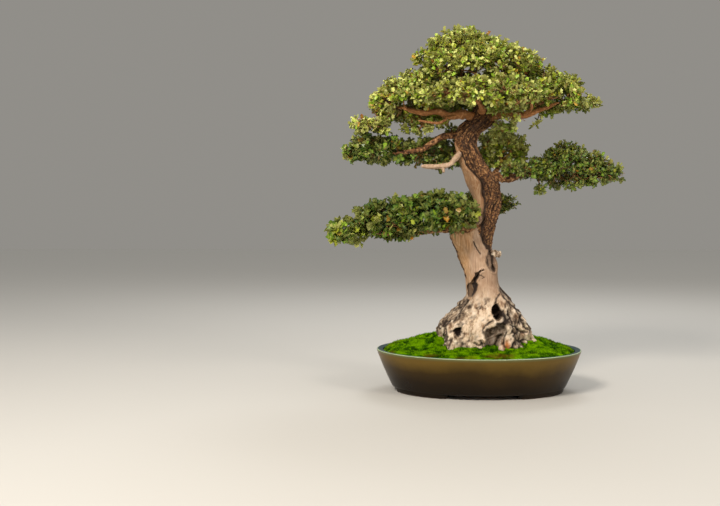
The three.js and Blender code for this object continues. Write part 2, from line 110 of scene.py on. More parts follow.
# Matte paper: pale, even and without gloss, so that only soft shadows show on it.
paper, tree, shader, place = finish_named("matte_paper")
feed(tree, shader, {"Base Color": linear("#D2D1CD"), "Roughness": 0.9})
floor_mesh.materials.append(paper)

LOOKED_AT = 0.45  # metres above the floor, where the lamps point

for name, stand, width, watts, tone in [
    ("high_left", (-1.3, -2.0, 2.0), 0.7, 66, "#FFF4E6"), ("right", (2.0, -1.9, 1.5), 0.8, 26, "#FFF3E4"),
    ("behind", (0.5, 1.7, 2.3), 1.2, 20, "#FFFFFF"),
]:
    lamp = bpy.data.lights.new(name, "AREA")
    lamp.energy = watts
    lamp.size = width
    lamp.color = linear(tone)[:3]
    holder = bpy.data.objects.new(name, lamp)
    holder.location = stand
    towards = -holder.location
    towards.z += LOOKED_AT
    holder.rotation_euler = towards.to_track_quat("-Z", "Y").to_euler()
    bpy.context.scene.collection.objects.link(holder)

ceiling = bpy.data.lights.new("ceiling", "SUN")
ceiling.energy = 0.42
ceiling.angle = math.radians(60)
bpy.context.scene.collection.objects.link(bpy.data.objects.new("ceiling", ceiling))

room = bpy.data.worlds.new("pale_room")
room.use_nodes = True
feed(room.node_tree, room.node_tree.nodes["Background"], {"Color": linear("#E5E1D9"), "Strength": 0.36})
bpy.context.scene.world = room
bpy.context.scene.view_settings.view_transform = "Standard"


# Pot
# A thrown and pressed stoneware oval, 48 cm long, with a smooth satin ash glaze outside and over
# the lip. It stands on four low feet that follow the wall, and its base and feet are bare clay.

POT_CENTRE = np.array([13, -9, 0])  # the frame's origin lies under the middle of the whole outline
RIM_A, RIM_B = 240, 174  # half length and half depth of the rim
POT_TOP = 98
FOOT_HEIGHT = 9
POT_FLOOR = 18
LIP = 15  # how far the rim turns in
RIM_BAND = 6  # height of the upright band under the rim
WALL = 9.5
HOLE_RADIUS, HOLE_PLACE = 17, 105  # drain holes, and how far each lies from the middle
POT_COLUMNS, CROSS_POINTS = 208, 23


def wall_inset(z):
    """Distance of the outer wall inside the rim: a nearly upright band, then an even lean."""
    band = np.minimum(RIM_BAND, POT_TOP - z)
    return 0.25 * band + 0.407 * (POT_TOP - z - band)


def add_piece(name, points, faces, finish, slot, *nodes, smooth=True):
    """A mesh from points in millimetres and arrays of quads or triangles, riding on the one body."""
    mesh = bpy.data.meshes.new(name)
    corners = np.concatenate([group.ravel() for group in faces]).astype(np.int32)
    sizes = np.concatenate([np.full(len(group), group.shape[1]) for group in faces])
    mesh.vertices.add(len(points))
    mesh.vertices.foreach_set("co", ((points + POT_CENTRE) / 1000).astype(np.float32).ravel())
    mesh.loops.add(len(corners))
    mesh.loops.foreach_set("vertex_index", corners)
    mesh.polygons.add(len(sizes))
    mesh.polygons.foreach_set("loop_start", (np.cumsum(sizes) - sizes).astype(np.int32))
    mesh.polygons.foreach_set("use_smooth", np.full(len(sizes), smooth))
    mesh.update(calc_edges=True)
    mesh.materials.append(finish)
    piece = bpy.data.objects.new(name, mesh)
    bpy.context.scene.collection.objects.link(piece)
    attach(piece, "root")
    if nodes:
        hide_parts(*nodes)
    return piece


def write_value(piece, name, values):
    """One number for each point of a piece, for its material to read."""
    piece.data.attributes.new(name, "FLOAT", "POINT").data.foreach_set(
        "value", np.ascontiguousarray(values, np.float32).ravel()
    )


def points_at(x, y, z):
    """Points from their three coordinates, each a number or an array that is repeated to fit."""
    return np.stack(np.broadcast_arrays(x, y, z), -1)


def unit(vectors):
    """Vectors brought to length 1."""
    return vectors / np.maximum(np.linalg.norm(vectors, axis=-1, keepdims=True), 1e-9)


def web(ring, other):
    """Quads between two closed rings of points, given as the points' numbers."""
    return np.stack([ring, np.roll(ring, -1, -1), np.roll(other, -1, -1), other], -1).reshape(-1, 4)


def net(rows, columns, first=0):
    """Quads between neighbouring rings of a grid of points, its last column joined to its first."""
    at = first + np.arange(rows * columns).reshape(rows, columns)
    return web(at[:-1], at[1:])


def rounded(corners, steps=6):
    """Each corner of a profile (across, up, rounding) becomes a short quadratic curve, which starts
    and ends on its two sides at the rounding's distance from the corner."""
    at = np.array(corners, float)
    place, cut = at[:, :2], at[:, 2:]
    start = place + cut * unit(np.roll(place, 1, 0) - place)
    end = place + cut * unit(np.roll(place, -1, 0) - place)
    t = np.linspace(0, 1, steps)[None, :, None]
    start, middle, end = start[:, None], place[:, None], end[:, None]
    return ((1 - t) ** 2 * start + 2 * t * (1 - t) * middle + t**2 * end).reshape(-1, 2)


# The wall's profile, as inset from the rim, height and rounding, from the underside up the outside,
# over the lip and down to the floor. Each point of it is a ring: the rim's oval less the inset.
turns = 2 * np.pi * np.arange(POT_COLUMNS) / POT_COLUMNS
wall_line = rounded([
    (wall_inset(9) + 9, 9, 3), (wall_inset(11) + 1.5, 11, 2), (wall_inset(24) - 0.5, 26, 10),
    (wall_inset(60) - 1.2, 60, 12), (1.6, 91, 3), (-0.2, 97.4, 1.2), (2.6, 98.4, 1.4), (LIP, 96.6, 2.4),
    (LIP + 0.5, 89, 3), (wall_inset(84) + WALL, 84, 3), (wall_inset(27) + WALL, 27, 8),
    (wall_inset(20) + WALL + 12, POT_FLOOR, 6),
])[1:-1]
inset, level = wall_line[:, :1], wall_line[:, 1:]
pot_rings = points_at((RIM_A - inset) * np.cos(turns), (RIM_B - inset) * np.sin(turns), level)


def foot_block(from_degrees, to_degrees):
    """A foot: a squarish loop, sine and cosine raised to a power below 1, is swept along the wall's
    oval between two turns, flattened underneath, and drawn in at both ends."""
    steps, sides = 30, 24
    along = np.linspace(-1, 1, steps)[:, None]
    turn = np.radians((from_degrees + to_degrees) / 2 + (to_degrees - from_degrees) / 2 * along)
    around = 2 * np.pi * np.arange(sides) / sides
    loop = np.array([np.sin(around), np.cos(around)])
    up, out = np.sign(loop) * np.abs(loop) ** 0.35
    fullness = np.sqrt(np.clip(1 - along**12, 0.02, 1))
    z = 7 + 7 * up * (0.6 + 0.4 * fullness)
    z = np.maximum(z - z.min(), 0)
    middle = wall_inset(FOOT_HEIGHT) + 11 - 0.25 * (z - FOOT_HEIGHT)
    inset = middle - 9.6 * fullness * out
    return points_at((RIM_A - inset) * np.cos(turn), (RIM_B - inset) * np.sin(turn), z)[:, ::-1]


def closed_tube(rings, first=0):
    """A grid of rings with a point closing each end, as points and faces."""
    rows, columns = rings.shape[:2]
    points = np.vstack([rings.reshape(-1, 3), rings[0].mean(0), rings[-1].mean(0)])
    ring = first + np.arange(columns)
    following = np.roll(ring, -1)
    last = ring + (rows - 1) * columns
    start, end = first + rows * columns, first + rows * columns + 1
    fans = [
        np.stack([np.full(columns, start), following, ring], 1),
        np.stack([np.full(columns, end), last, np.roll(last, -1)], 1),
    ]
    return points, [net(rows, columns, first), *fans]


pot_points = pot_rings.reshape(-1, 3)
pot_faces = [net(len(wall_line), POT_COLUMNS)]
for from_degrees, to_degrees in [(12, 66), (114, 168), (192, 246), (294, 348)]:
    block, block_faces = closed_tube(foot_block(from_degrees, to_degrees), len(pot_points))
    pot_points = np.vstack([pot_points, block])
    pot_faces += block_faces

# The underside and the floor are flat plates, each in two halves. A web of quads joins a half's
# outline, half the oval and the line across the middle, to the ring of its drain hole, whose points
# lie in the same directions from the hole's middle. A tube of quads joins the two rings.
quarter = POT_COLUMNS // 4
across = np.linspace(1, -1, CROSS_POINTS + 2)[1:-1, None]
cross_line = np.hstack([0 * across, across, across**0])
levels = []
for row in (0, len(wall_line) - 1):
    levels.append((row, len(pot_points) + np.arange(CROSS_POINTS)))
    pot_points = np.vstack([pot_points, pot_rings[row, quarter] * cross_line])
plates, hole_walls = [], []
for side in (1, -1):
    arc = side * np.arange(-quarter, quarter + 1) + (side < 0) * 2 * quarter
    rings = []
    for row, line in levels:
        outline = np.append(row * POT_COLUMNS + arc % POT_COLUMNS, line)[::side]
        middle = [side * HOLE_PLACE, 0, pot_points[line[0], 2]]
        if not rings:
            spoke = HOLE_RADIUS * unit(pot_points[outline] - middle)
        rings.append(len(pot_points) + np.arange(len(outline)))
        pot_points = np.vstack([pot_points, middle + spoke])
        plates.append(web(outline, rings[-1]))
    hole_walls.append(web(*rings)[:, ::-1])
under_plates = [plates[0][:, ::-1], plates[2][:, ::-1]]
flat_faces = [*hole_walls, plates[1], plates[3], *under_plates]

# Satin ash glaze over iron-bearing stoneware: olive brown on the wall, painted lighter under the rim
# and darker towards the foot as a painted sheen of the light from above, pale celadon where it has
# run thin off the rim's edge, and blue-green where it pooled inside the lip.
glaze, tree, shader, place = finish_named("satin_ash_glaze")
CLOUD, ORANGE_PEEL = 111, 2.38  # millimetres across
height = put(tree, "SeparateXYZ", {0: place}).outputs["Z"]
cloudy = put(tree, "TexNoise", {"Vector": place, "Scale": 1000 / CLOUD, "Detail": 5})
# The wall's colour follows height: a painted sheen, lighter under the rim and darker at the foot.
drift = put(tree, "Math", {0: cloudy, 1: 0.06, 2: height}, operation="MULTIPLY_ADD")
share = put(tree, "MapRange", {"Value": drift, 1: 0.032, 2: 0.13})
lit_wall_stops = [(0.0, "#160D03"), (0.3, "#221604"), (0.6, "#3A2A08"), (0.9, "#6C551E")]
lit_wall_colour = put(tree, "ValToRGB", {0: share}, lit_wall_stops)
lip = put(tree, "Attribute", attribute_name="lip").outputs["Fac"]
lip_stops = [(0.3, "#4E4524"), (0.44, "#6E7A54"), (0.5, "#B4C8A4"), (0.54, "#0E3A40"), (0.8, "#06222A")]
lip_colour = put(tree, "ValToRGB", {0: lip}, lip_stops)
lip_share = put(tree, "MapRange", {"Value": lip, 1: 0.3, 2: 0.48})
glazed = put(tree, "Mix", {0: lip_share, 6: lit_wall_colour, 7: lip_colour}, data_type="RGBA")
patchy = put(tree, "MapRange", {"Value": cloudy, 1: 0.3, 2: 0.7, 3: 0.26, 4: 0.4})
peel = put(tree, "TexNoise", {"Vector": place, "Scale": 1000 / ORANGE_PEEL, "Detail": 2})
skin = put(tree, "Bump", {"Height": peel, "Strength": 0.12, "Distance": 0.0004})
feed(tree, shader, {"Base Color": glazed.outputs[2], "Roughness": patchy, "Normal": skin})
feed(tree, shader, {"IOR": 1.5, "Specular IOR Level": 0.2})

# Bare stoneware fired to a warm brown: dull, and slightly sandy from the grog in the clay.
clay, tree, shader, place = finish_named("bare_stoneware")
GROG = 1.43  # millimetres across
grog = put(tree, "TexNoise", {"Vector": place, "Scale": 1000 / GROG, "Detail": 3})
clay_colour = put(tree, "ValToRGB", {0: grog}, [(0.3, "#4A3020"), (0.7, "#7A5238")])
sandy = put(tree, "Bump", {"Height": grog, "Strength": 0.4, "Distance": 0.0005})
feed(tree, shader, {"Base Color": clay_colour, "Roughness": 0.85, "Normal": sandy})

is_round = np.repeat([True, False], [sum(map(len, pot_faces)), sum(map(len, flat_faces))])
pot = add_piece("pot", pot_points, pot_faces + flat_faces, glaze, "glaze", "pot", smooth=is_round)

# Where on the profile a point lies, for the glaze: below 0.3 the wall, 0.5 the edge, above it inside.
along_profile = np.interp(
    np.arange(len(wall_line)), [0, 24, 29, 32, 36, 39, 44, 55], [0, 0.3, 0.42, 0.49, 0.51, 0.56, 0.7, 0.9]
)
lip_values = np.zeros(len(pot_points))
lip_values[: len(wall_line) * POT_COLUMNS] = np.repeat(along_profile, POT_COLUMNS)
write_value(pot, "lip", lip_values)

# The clay is bare on the underside and on the soles of the feet.
SOLE = 0.0018  # metres
pot.data.materials.append(clay)
middles, facing = np.empty((2, 3 * len(is_round)), np.float32)
pot.data.polygons.foreach_get("center", middles)
pot.data.polygons.foreach_get("normal", facing)
bare = (middles[2::3] < SOLE) & (facing[2::3] < -0.5)
bare[-sum(map(len, under_plates)) :] = True
pot.data.polygons.foreach_set("material_index", bare.astype(np.int32))


# Drain screens
# Two squares of black polyethylene mesh lie over the drain holes and keep the soil in. They are
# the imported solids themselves, because their plain moulded bars are right as they are.

# Moulded polyethylene: a soft sheen, slightly rough from wear and dust.
polyethylene, tree, shader, place = finish_named("moulded_polyethylene")
DUST = 3.33  # millimetres across
dust = put(tree, "TexNoise", {"Vector": place, "Scale": 1000 / DUST, "Detail": 4})
dusty = put(tree, "ValToRGB", {0: dust}, [(0.35, "#141414"), (0.75, "#3A342C")])
feed(tree, shader, {"Base Color": dusty, "Roughness": 0.5, "IOR": 1.5})


def finish_solid(name, finish):
    """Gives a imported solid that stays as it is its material."""
    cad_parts[name].data.materials.clear()
    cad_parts[name].data.materials.append(finish)


finish_solid("drain_screen_left", polyethylene)
finish_solid("drain_screen_right", polyethylene)


# Soil
# Fired clay and pumice granules fill the pot under the moss. Only the drain holes show them, so
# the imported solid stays, with its granules in the material.

# Fired clay granules of 3 to 6 mm: matte, ochre to brown, with dark gaps between them.
granules, tree, shader, place = finish_named("fired_clay_granules")
GRANULE = 4.55  # millimetres across
grain = put(tree, "TexVoronoi", {"Vector": place, "Scale": 1000 / GRANULE})
grain_stops = [(0.2, "#3B281A"), (0.55, "#8A6038"), (0.9, "#B79A72")]
grain_colour = put(tree, "ValToRGB", {0: grain.outputs["Color"]}, grain_stops)
gaps = put(tree, "Bump", {"Height": grain, "Strength": 0.9, "Distance": 0.003}, invert=True)
feed(tree, shader, {"Base Color": grain_colour, "Roughness": 0.95, "Normal": gaps})
finish_solid("soil", granules)


# Moss
# Living cushion moss grown over the soil as one carpet: low at the rim, banked up to the trunk and
# higher behind it. Its cushions are 10 to 30 mm across and its shoots stand 3 to 5 mm tall.

MOSS_A, MOSS_B = RIM_A - LIP - 0.4, RIM_B - LIP - 0.4
MOSS_EDGE, MOSS_FOOT = 94, 88  # heights of the carpet's edge and of its underside there
SHOOTS = 9000


def cloud(points, size, seed=0):
    """A smooth random value from -1 to 1 at each point. Space is cut into boxes of the given size,
    each box corner has a number scrambled from its whole-number place and the seed, and a point
    blends the eight numbers round it with the weights 6t^5 - 15t^4 + 10t^3."""
    cell = np.floor(points / size)
    t = points / size - cell
    near = t**3 * (t * (6 * t - 15) + 10)
    cell = cell.astype(np.int64)
    blend = np.zeros(points.shape[:-1])
    for corner in np.ndindex(2, 2, 2):
        i, j, k = (cell[..., axis] + corner[axis] for axis in range(3))
        mixed = (i * 73856093 ^ j * 19349663 ^ k * 83492791 ^ (seed + 1) * 265443) & 0xFFFFFFFF
        mixed = ((mixed ^ mixed >> 13) * 1274126177) & 0xFFFFFFFF
        value = ((mixed ^ mixed >> 16) & 0xFFFF) / 32767.5 - 1
        blend += value * np.prod(np.where(corner, near, 1 - near), axis=-1)
    return blend


def cushion(flat):
    """0 in the creases between the moss cushions, where a noise crosses zero, and 1 over their domes."""
    return np.minimum(1, 2.4 * np.abs(cloud(flat, 23, 2) + 0.25 * cloud(flat, 7, 4))) ** 0.6


def moss_height(x, y):
    """Height of the carpet: the rim's level plus a bank that grows inwards and backwards, waves and
    cushions that fade at the rim, a roll along the rim, and a rounded edge."""
    out = np.minimum(1, np.hypot(x / MOSS_A, y / MOSS_B))
    inward = 1 - out
    bank = 44 + 22 * np.tanh((y + 20) / 40)
    waves = 2.2 * np.sin(x / 13 + 1.7 * np.sin(y / 21)) * np.sin(y / 15 + x / 37)
    height = MOSS_EDGE + bank * inward**0.8 + waves * np.minimum(1, 4 * inward)
    flat = points_at(x, y, 0)
    tufts = 2.6 * cushion(flat) + 1.2 * cloud(flat, 11, 2) + 0.8 * cloud(flat, 4.5, 3) - 1
    height = height + 5 * np.minimum(1, 14 * inward) * np.exp(-9 * inward)
    return height + tufts * np.minimum(1, 12 * inward) - 4 * np.clip((out - 0.975) / 0.025, 0, 1) ** 2


# The carpet is a grid of rings from the rim inwards. Every 21st ring, lowered, is its underside.
moss_rows, moss_columns = 84, 360
shares = np.linspace(1, 0.36, moss_rows)[:, None] ** 0.9  # of the way from the middle to the rim
turns = 2 * np.pi * np.arange(moss_columns) / moss_columns
x = MOSS_A * shares * np.cos(turns)
y = MOSS_B * shares * np.sin(turns)
carpet = points_at(x, y, moss_height(x, y))
under = carpet[::-21] - [0, 0, 11]
under[-1, :, 2] = MOSS_FOOT
moss_points, moss_faces = closed_tube(np.concatenate([under, carpet]))

# A moss shoot is a thin leaning spike on a three-cornered foot. The shoots are spread evenly over
# the carpet's area by the square root of a random share.
random = np.random.default_rng(7)
share = np.sqrt(random.uniform(0.13, 0.99, SHOOTS))
turn = random.uniform(0, 2 * np.pi, SHOOTS)
x = MOSS_A * share * np.cos(turn)
y = MOSS_B * share * np.sin(turn)
shoot_foot = points_at(x, y, moss_height(x, y) - 0.8)
shoot_width = random.uniform(0.7, 1.3, SHOOTS)
spikes = np.empty((SHOOTS, 4, 3))
for i in range(3):
    turn = random.uniform(0, 0.6, SHOOTS) + 2 * np.pi * i / 3
    spikes[:, i] = shoot_foot
    spikes[:, i, 0] += shoot_width * np.cos(turn)
    spikes[:, i, 1] += shoot_width * np.sin(turn)
spikes[:, 3] = shoot_foot + random.normal(0, 1.1, (SHOOTS, 3)) * [1, 1, 0.3]
spikes[:, 3, 2] += random.uniform(2.2, 4.4, SHOOTS)
spike_faces = np.array([[0, 2, 1], [0, 1, 3], [1, 2, 3], [2, 0, 3]])
spike_faces = (len(moss_points) + 4 * np.arange(SHOOTS)[:, None, None] + spike_faces).reshape(-1, 3)

# Living moss: a matte, velvety green, with a painted highlight that makes it yellow on the tops of the
# cushions and shoots, painted shade that makes it nearly black in the creases between them, and a few
# rusty patches where it has dried near the rim.
velvet, tree, shader, place = finish_named("living_cushion_moss")
MOSS_PATCH, SHOOT = 26.3, 2.38  # millimetres across
tip = put(tree, "Attribute", attribute_name="tip").outputs["Fac"]
broad = put(tree, "TexNoise", {"Vector": place, "Scale": 1000 / MOSS_PATCH, "Detail": 5})
fine = put(tree, "TexNoise", {"Vector": place, "Scale": 1000 / SHOOT, "Detail": 3})
lift = put(tree, "Math", {0: fine, 1: 0.4, 2: tip}, operation="MULTIPLY_ADD")
level = put(tree, "Math", {0: broad, 1: 0.7, 2: lift}, operation="MULTIPLY_ADD")
# The ramp's dark end is painted shade in the creases, its yellow end a painted highlight on the tops.
green_stops = [(0.4, "#061200"), (0.56, "#163000"), (0.74, "#2E5A00"), (0.92, "#6E9E00")]
greens = put(tree, "ValToRGB", {0: level}, green_stops)
rust = put(tree, "Attribute", attribute_name="dry").outputs["Fac"]
dried = put(tree, "Mix", {0: rust, 6: greens, 7: linear("#6E4A16")}, data_type="RGBA")
pile = put(tree, "Bump", {"Height": fine, "Strength": 0.8, "Distance": 0.002})
feed(tree, shader, {"Base Color": dried.outputs[2], "Roughness": 0.95, "Normal": pile})
feed(tree, shader, {"Specular IOR Level": 0.02})

all_moss = np.vstack([moss_points, spikes.reshape(-1, 3)])
moss = add_piece("moss", all_moss, moss_faces + [spike_faces], velvet, "moss", "moss")

# How near to the top of a cushion or shoot a point is, for the painted highlight on the tops and the
# painted shade in the creases, and how dry, near the rim and in one worn spot.
flat = all_moss * [1, 1, 0]
highlight_and_crease_shade = 0.02 + 0.26 * cushion(flat) + 0.08 * cloud(flat, 11, 2) + 0.08 * cloud(flat, 4.5, 3)
highlight_and_crease_shade[len(moss_points) + 3 :: 4] += 0.22
write_value(moss, "tip", highlight_and_crease_shade)
out = np.hypot(all_moss[:, 0] / MOSS_A, all_moss[:, 1] / MOSS_B)
dry = np.clip(1.5 * cloud(flat, 30, 5) - 0.55, 0, 1) * np.clip((out - 0.72) / 0.2, 0, 1)
worn_spot = np.hypot((flat[:, 0] - 30) / 46, (flat[:, 1] + 136) / 20) + 0.5 * cloud(flat, 12, 6)
dry = np.maximum(dry, np.clip(1.4 - 1.4 * worn_spot, 0, 1))
write_value(moss, "dry", 0.6 * dry)


# Trunk
# A very old oak stem, most of it dead: a pale rotted root flare, a tan stripped face on the left,
# and one strip of live bark that climbs the right side and closes round the neck under the crown.

STATIONS = np.array(
    [
        [58, 14, 6, 58, 44], [84, 14, 4, 90, 66], [104, 13, 0, 108, 80], [129, 12, 0, 107, 79],
        [160, 10, 0, 97, 71], [179, 14, 0, 84, 63], [196, 17, 0, 68, 55], [220, 21, 0, 52, 45],
        [246, 11, 0, 41, 38], [267, 8, 0, 40, 37], [300, 3, 0, 44, 36], [331, -8, 2, 41, 36],
        [354, -15, 4, 46, 36], [371, -14, 6, 47, 34], [385, -2, 8, 38, 31], [400, 13, 10, 27, 28],
        [420, 17, 12, 28, 25], [444, 22, 12, 28, 26], [472, 16, 10, 32, 28], [493, 9, 6, 36, 30],
        [517, -5, 2, 32, 30], [550, -22, -2, 28, 28], [582, -33, -4, 26, 27], [601, -29, -4, 30, 29],
        [624, -8, -2, 38, 31], [641, 6, 0, 33, 28], [664, 10, 2, 22, 21], [697, 4, 4, 14, 14],
        [730, -4, 4, 9, 9],
    ],
    float,
)  # height, centre x, centre y, half width, half depth
# A hollow's darkness is painted shade inside it.
HOLLOWS = [
    (14, 0.9, [(20, 331), (26, 330), (34, 323), (35, 311), (33, 299), (37, 288), (37, 280), (29, 282),
     (25, 288), (27, 297), (26, 307), (24, 316), (19, 322)]),
    (7, 0.9, [(14, 314), (17, 316), (20, 306), (24, 295), (19, 294), (15, 303)]),
    (6, 0.5, [(14, 313), (17, 326), (23, 332), (33, 327), (38, 314), (38, 297), (39, 281), (33, 279),
     (24, 282), (17, 293), (13, 303)]),
    (18, 0.68, [(-4, 281), (-1, 286), (7, 287), (9, 284), (4, 283), (0, 279), (-3, 271), (-9, 263),
     (-14, 258), (-6, 252), (-6, 243), (-10, 234), (-17, 222), (-23, 219), (-29, 224), (-30, 238),
     (-27, 250), (-21, 257), (-15, 267), (-13, 277), (-8, 281)]),
    (10, 1, [(-1, 286), (7, 287), (5, 283), (0, 279), (-3, 271), (-8, 262), (-9, 257), (-4, 252),
     (-5, 243), (-10, 233), (-16, 223), (-21, 220), (-16, 232), (-14, 243), (-17, 253), (-14, 262),
     (-9, 272), (-5, 280)]),
    (34, 1, [(33, 209), (40, 207), (46, 196), (50, 186), (47, 177), (42, 171), (35, 170), (29, 177),
     (25, 187), (24, 196), (27, 204)]),
    (25, 0.74, [(5, 144), (11, 152), (20, 155), (32, 160), (46, 168), (55, 161), (58, 149), (51, 138),
     (47, 129), (41, 119), (37, 98), (20, 96), (9, 98), (6, 118), (9, 128), (7, 137)]),
    (22, 1, [(-64, 146), (-57, 153), (-44, 155), (-42, 145), (-46, 135), (-53, 132), (-60, 137)]),
    (12, 0.9, [(-85, 134), (-80, 140), (-75, 134), (-76, 122), (-83, 118)]),
]  # depth and darkness of each rotted hollow, then its outline from the front: across and up
CRACKS = [
    (0.9, 3, [(-17, 352), (-12, 343), (-6, 331), (0, 324)]),
    (0.8, 1.5, [(-4, 275), (4, 273), (10, 269), (4, 266)]),
    (2.7, 7, [(49, 242), (57, 233), (67, 219), (81, 206), (92, 191), (103, 175), (113, 159)]),
    (1.6, 4, [(51, 228), (60, 214), (71, 203), (85, 192), (92, 183)]),
    (1.8, 5, [(89, 181), (94, 166), (102, 151), (113, 140)]),
    (1.3, 3, [(45, 231), (37, 221), (33, 211)]),
    (2, -5, [(8, 127), (20, 130), (37, 139), (56, 147)]),
    (1.8, -5, [(12, 140), (20, 146), (32, 150), (44, 158)]),
    (2.4, 6, [(-32, 217), (-42, 206), (-53, 194), (-65, 183), (-76, 172)]),
    (2, 5, [(-26, 215), (-35, 202), (-45, 190), (-51, 178), (-59, 166)]),
    (1.4, 3, [(-29, 216), (-38, 205), (-48, 193)]),
    (1.4, 5, [(26, 172), (17, 165), (9, 160), (4, 150)]),
    (1.6, 5, [(-68, 127), (-70, 108)]),
    (2, 5, [(-1, 125), (3, 115), (9, 104)]),
    (2.4, -7, [(16, 104), (27, 121), (33, 136), (46, 146)]),
    (1.6, 4, [(22, 104), (34, 118), (40, 132), (50, 138)]),
    (1.8, 4, [(-15, 119), (-6, 115), (2, 118)]),
    (2, 6, [(58, 146), (53, 134), (51, 118), (56, 104)]),
    (1.6, 4, [(83, 146), (74, 137), (84, 125), (95, 112)]),
    (1.6, 4, [(62, 163), (75, 156), (87, 144), (104, 140)]),
    (1.6, 4, [(-74, 165), (-79, 153), (-79, 138)]),
]  # half width and depth of each crack, then its line from the front: across and up
TOES = [
    (-73, 6, 10, 118), (-60, 5, -8, 120), (-50, 6, -10, 150), (-38, 6, 7, 132), (-27, 7, 8, 140),
    (-17, 5, -7, 140), (-7, 6, 6, 135), (-86, 7, -5, 125), (-97, 5, 7, 122), (-106, 4, -5, 120),
    (-114, 5, 5, 122), (-122, 4, -6, 125), (-131, 5, 6, 126), (-138, 4, -5, 130), (-145, 5, 7, 132),
    (-154, 5, -9, 135), (-163, 5, -4, 140), (-174, 9, 10, 165), (165, 9, 8, 140), (148, 10, -9, 140),
    (128, 9, 9, 140), (104, 9, -8, 140), (82, 10, 10, 140), (58, 8, -9, 140), (38, 9, 9, 140),
    (16, 8, -6, 140),
]  # turn, half width in degrees, push in millimetres, and the height where it has faded
SPLITS = [
    [(330, 150), (280, 140), (230, 150)], [(300, 80), (260, 90), (215, 84)],
    [(345, 110), (300, 118), (250, 112)], [(290, 30), (250, 36), (220, 30)],
]  # height and turn along each split at the sides and back
BARK_LEFT = np.array(
    [
        [330, -38], [340, -42], [349, -54], [367, -63], [385, -83], [404, -104], [439, -119], [457, -117],
        [474, -110], [492, -103], [509, -117], [527, -136], [560, -145], [580, -158], [596, -182],
    ],
    float,
)  # height and turn of the live bark's left edge; right of it the bark goes round to the back
BARK_BACK = np.array(
    [[326, -30], [345, 20], [372, 60], [410, 95], [500, 120], [575, 150], [596, 178]], float
)  # the same of its right edge
DEAD_EDGE_BARK = np.array([[262, 3], [285, 5], [330, 7], [366, 6]], float)  # height, half turn
BARK_FOOT, BARK_CLOSES = 330, 596  # heights where the strip starts and where it closes round the stem


def through(at, values, where):
    """A smooth line through stations: cubic pieces that share the slope at each station."""
    slope = np.gradient(values, at, axis=0)
    i = np.clip(np.searchsorted(at, where) - 1, 0, len(at) - 2)
    span = (at[i + 1] - at[i])[:, None]
    t = (where - at[i])[:, None] / span
    ends = values[i] * (2 * t**3 - 3 * t**2 + 1) + values[i + 1] * (3 * t**2 - 2 * t**3)
    return ends + span * (slope[i] * (t**3 - 2 * t**2 + t) + slope[i + 1] * (t**3 - t**2))


def ease(value, low, high):
    """0 below low, 1 above high, and smooth between."""
    t = np.clip((value - low) / (high - low), 0, 1)
    return t * t * (3 - 2 * t)


def turned(angle):
    """An angle in degrees, brought between -180 and 180."""
    return (angle + 180) % 360 - 180


def to_outline(x, z, outline, closed):
    """Distance from each point to an outline seen from the front, and whether it lies inside: it
    does when a line drawn to the right crosses the outline an odd number of times."""
    corners = np.array(outline, float)
    least = np.full(x.shape, 1e9)
    inside = np.zeros(x.shape, bool)
    for (ax, az), (bx, bz) in zip(corners, np.roll(corners, -1, 0) if closed else corners[1:]):
        share = ((x - ax) * (bx - ax) + (z - az) * (bz - az)) / ((bx - ax) ** 2 + (bz - az) ** 2)
        share = np.clip(share, 0, 1)
        least = np.minimum(least, np.hypot(x - ax - share * (bx - ax), z - az - share * (bz - az)))
        if closed and az != bz:
            inside ^= ((az > z) != (bz > z)) & (x < ax + (z - az) * (bx - ax) / (bz - az))
    return least, inside


# The stem is a stack of ovals. Smooth lines through the stations give each height its middle and half
# widths, and waves round the girth swell it: five and nine toes below, two and five fibres above.
# The relief then moves each point outwards, and the marks of the front move it straight back.
trunk_columns = 264
heights = np.concatenate([
    np.linspace(58, 88, 4, endpoint=False), np.linspace(88, 215, 98, endpoint=False),
    np.linspace(215, 335, 72, endpoint=False), np.linspace(335, 640, 112, endpoint=False),
    np.linspace(640, 730, 8),
])
turn = 2 * np.pi * np.arange(trunk_columns)[None] / trunk_columns
z = heights[:, None]
ovals = through(STATIONS[:, 0], STATIONS[:, 1:], heights)
centre_x, centre_y, half_width, half_depth = ovals.T[..., None]
root = np.clip((215 - z) / 90, 0, 1) * np.clip((z - 50) / 50, 0, 1)
toes = 0.1 * np.sin(5 * turn + 0.9) + 0.06 * np.sin(9 * turn + z / 30)
fibres = 0.07 * np.sin(2 * turn + z / 55) + 0.04 * np.sin(5 * turn - z / 40)
swell = 1 + root * toes + (1 - root) * fibres
beside = half_width * swell * np.cos(turn)
before = half_depth * swell * np.sin(turn)

# Places along the twisted grain: the section turns by one radian in 260 mm of height.
twist = z / 260
grained = points_at(
    beside * np.cos(twist) + before * np.sin(twist), before * np.cos(twist) - beside * np.sin(twist), z
)

# Live bark: a mask from its two edges, in degrees of turn, roughened by a few millimetres. A last
# narrow strip of old bark clings to the stem's left edge.
degrees = turned(np.degrees(turn) + 0 * z)
ragged = 7 * cloud(grained, (9, 9, 16), 11)
left_edge = np.interp(z, BARK_LEFT[:, 0], BARK_LEFT[:, 1])
back_edge = np.interp(z, BARK_BACK[:, 0], BARK_BACK[:, 1])
inside = np.minimum(degrees - left_edge, back_edge - degrees) + ragged
inside = np.where(z > BARK_CLOSES, 40, np.where(z < BARK_FOOT, -40, inside))
per_degree = half_width / 57.3  # millimetres of girth
inside = inside * per_degree
bark = ease(inside, -0.4, 1.2)
strip = np.interp(z, DEAD_EDGE_BARK[:, 0], DEAD_EDGE_BARK[:, 1], -9, -9)
strip_inside = (strip - np.abs(turned(degrees - 188)) + 0.7 * ragged) * per_degree
strip_bark = ease(strip_inside, -0.5, 1.5)
bark = np.maximum(bark, strip_bark)

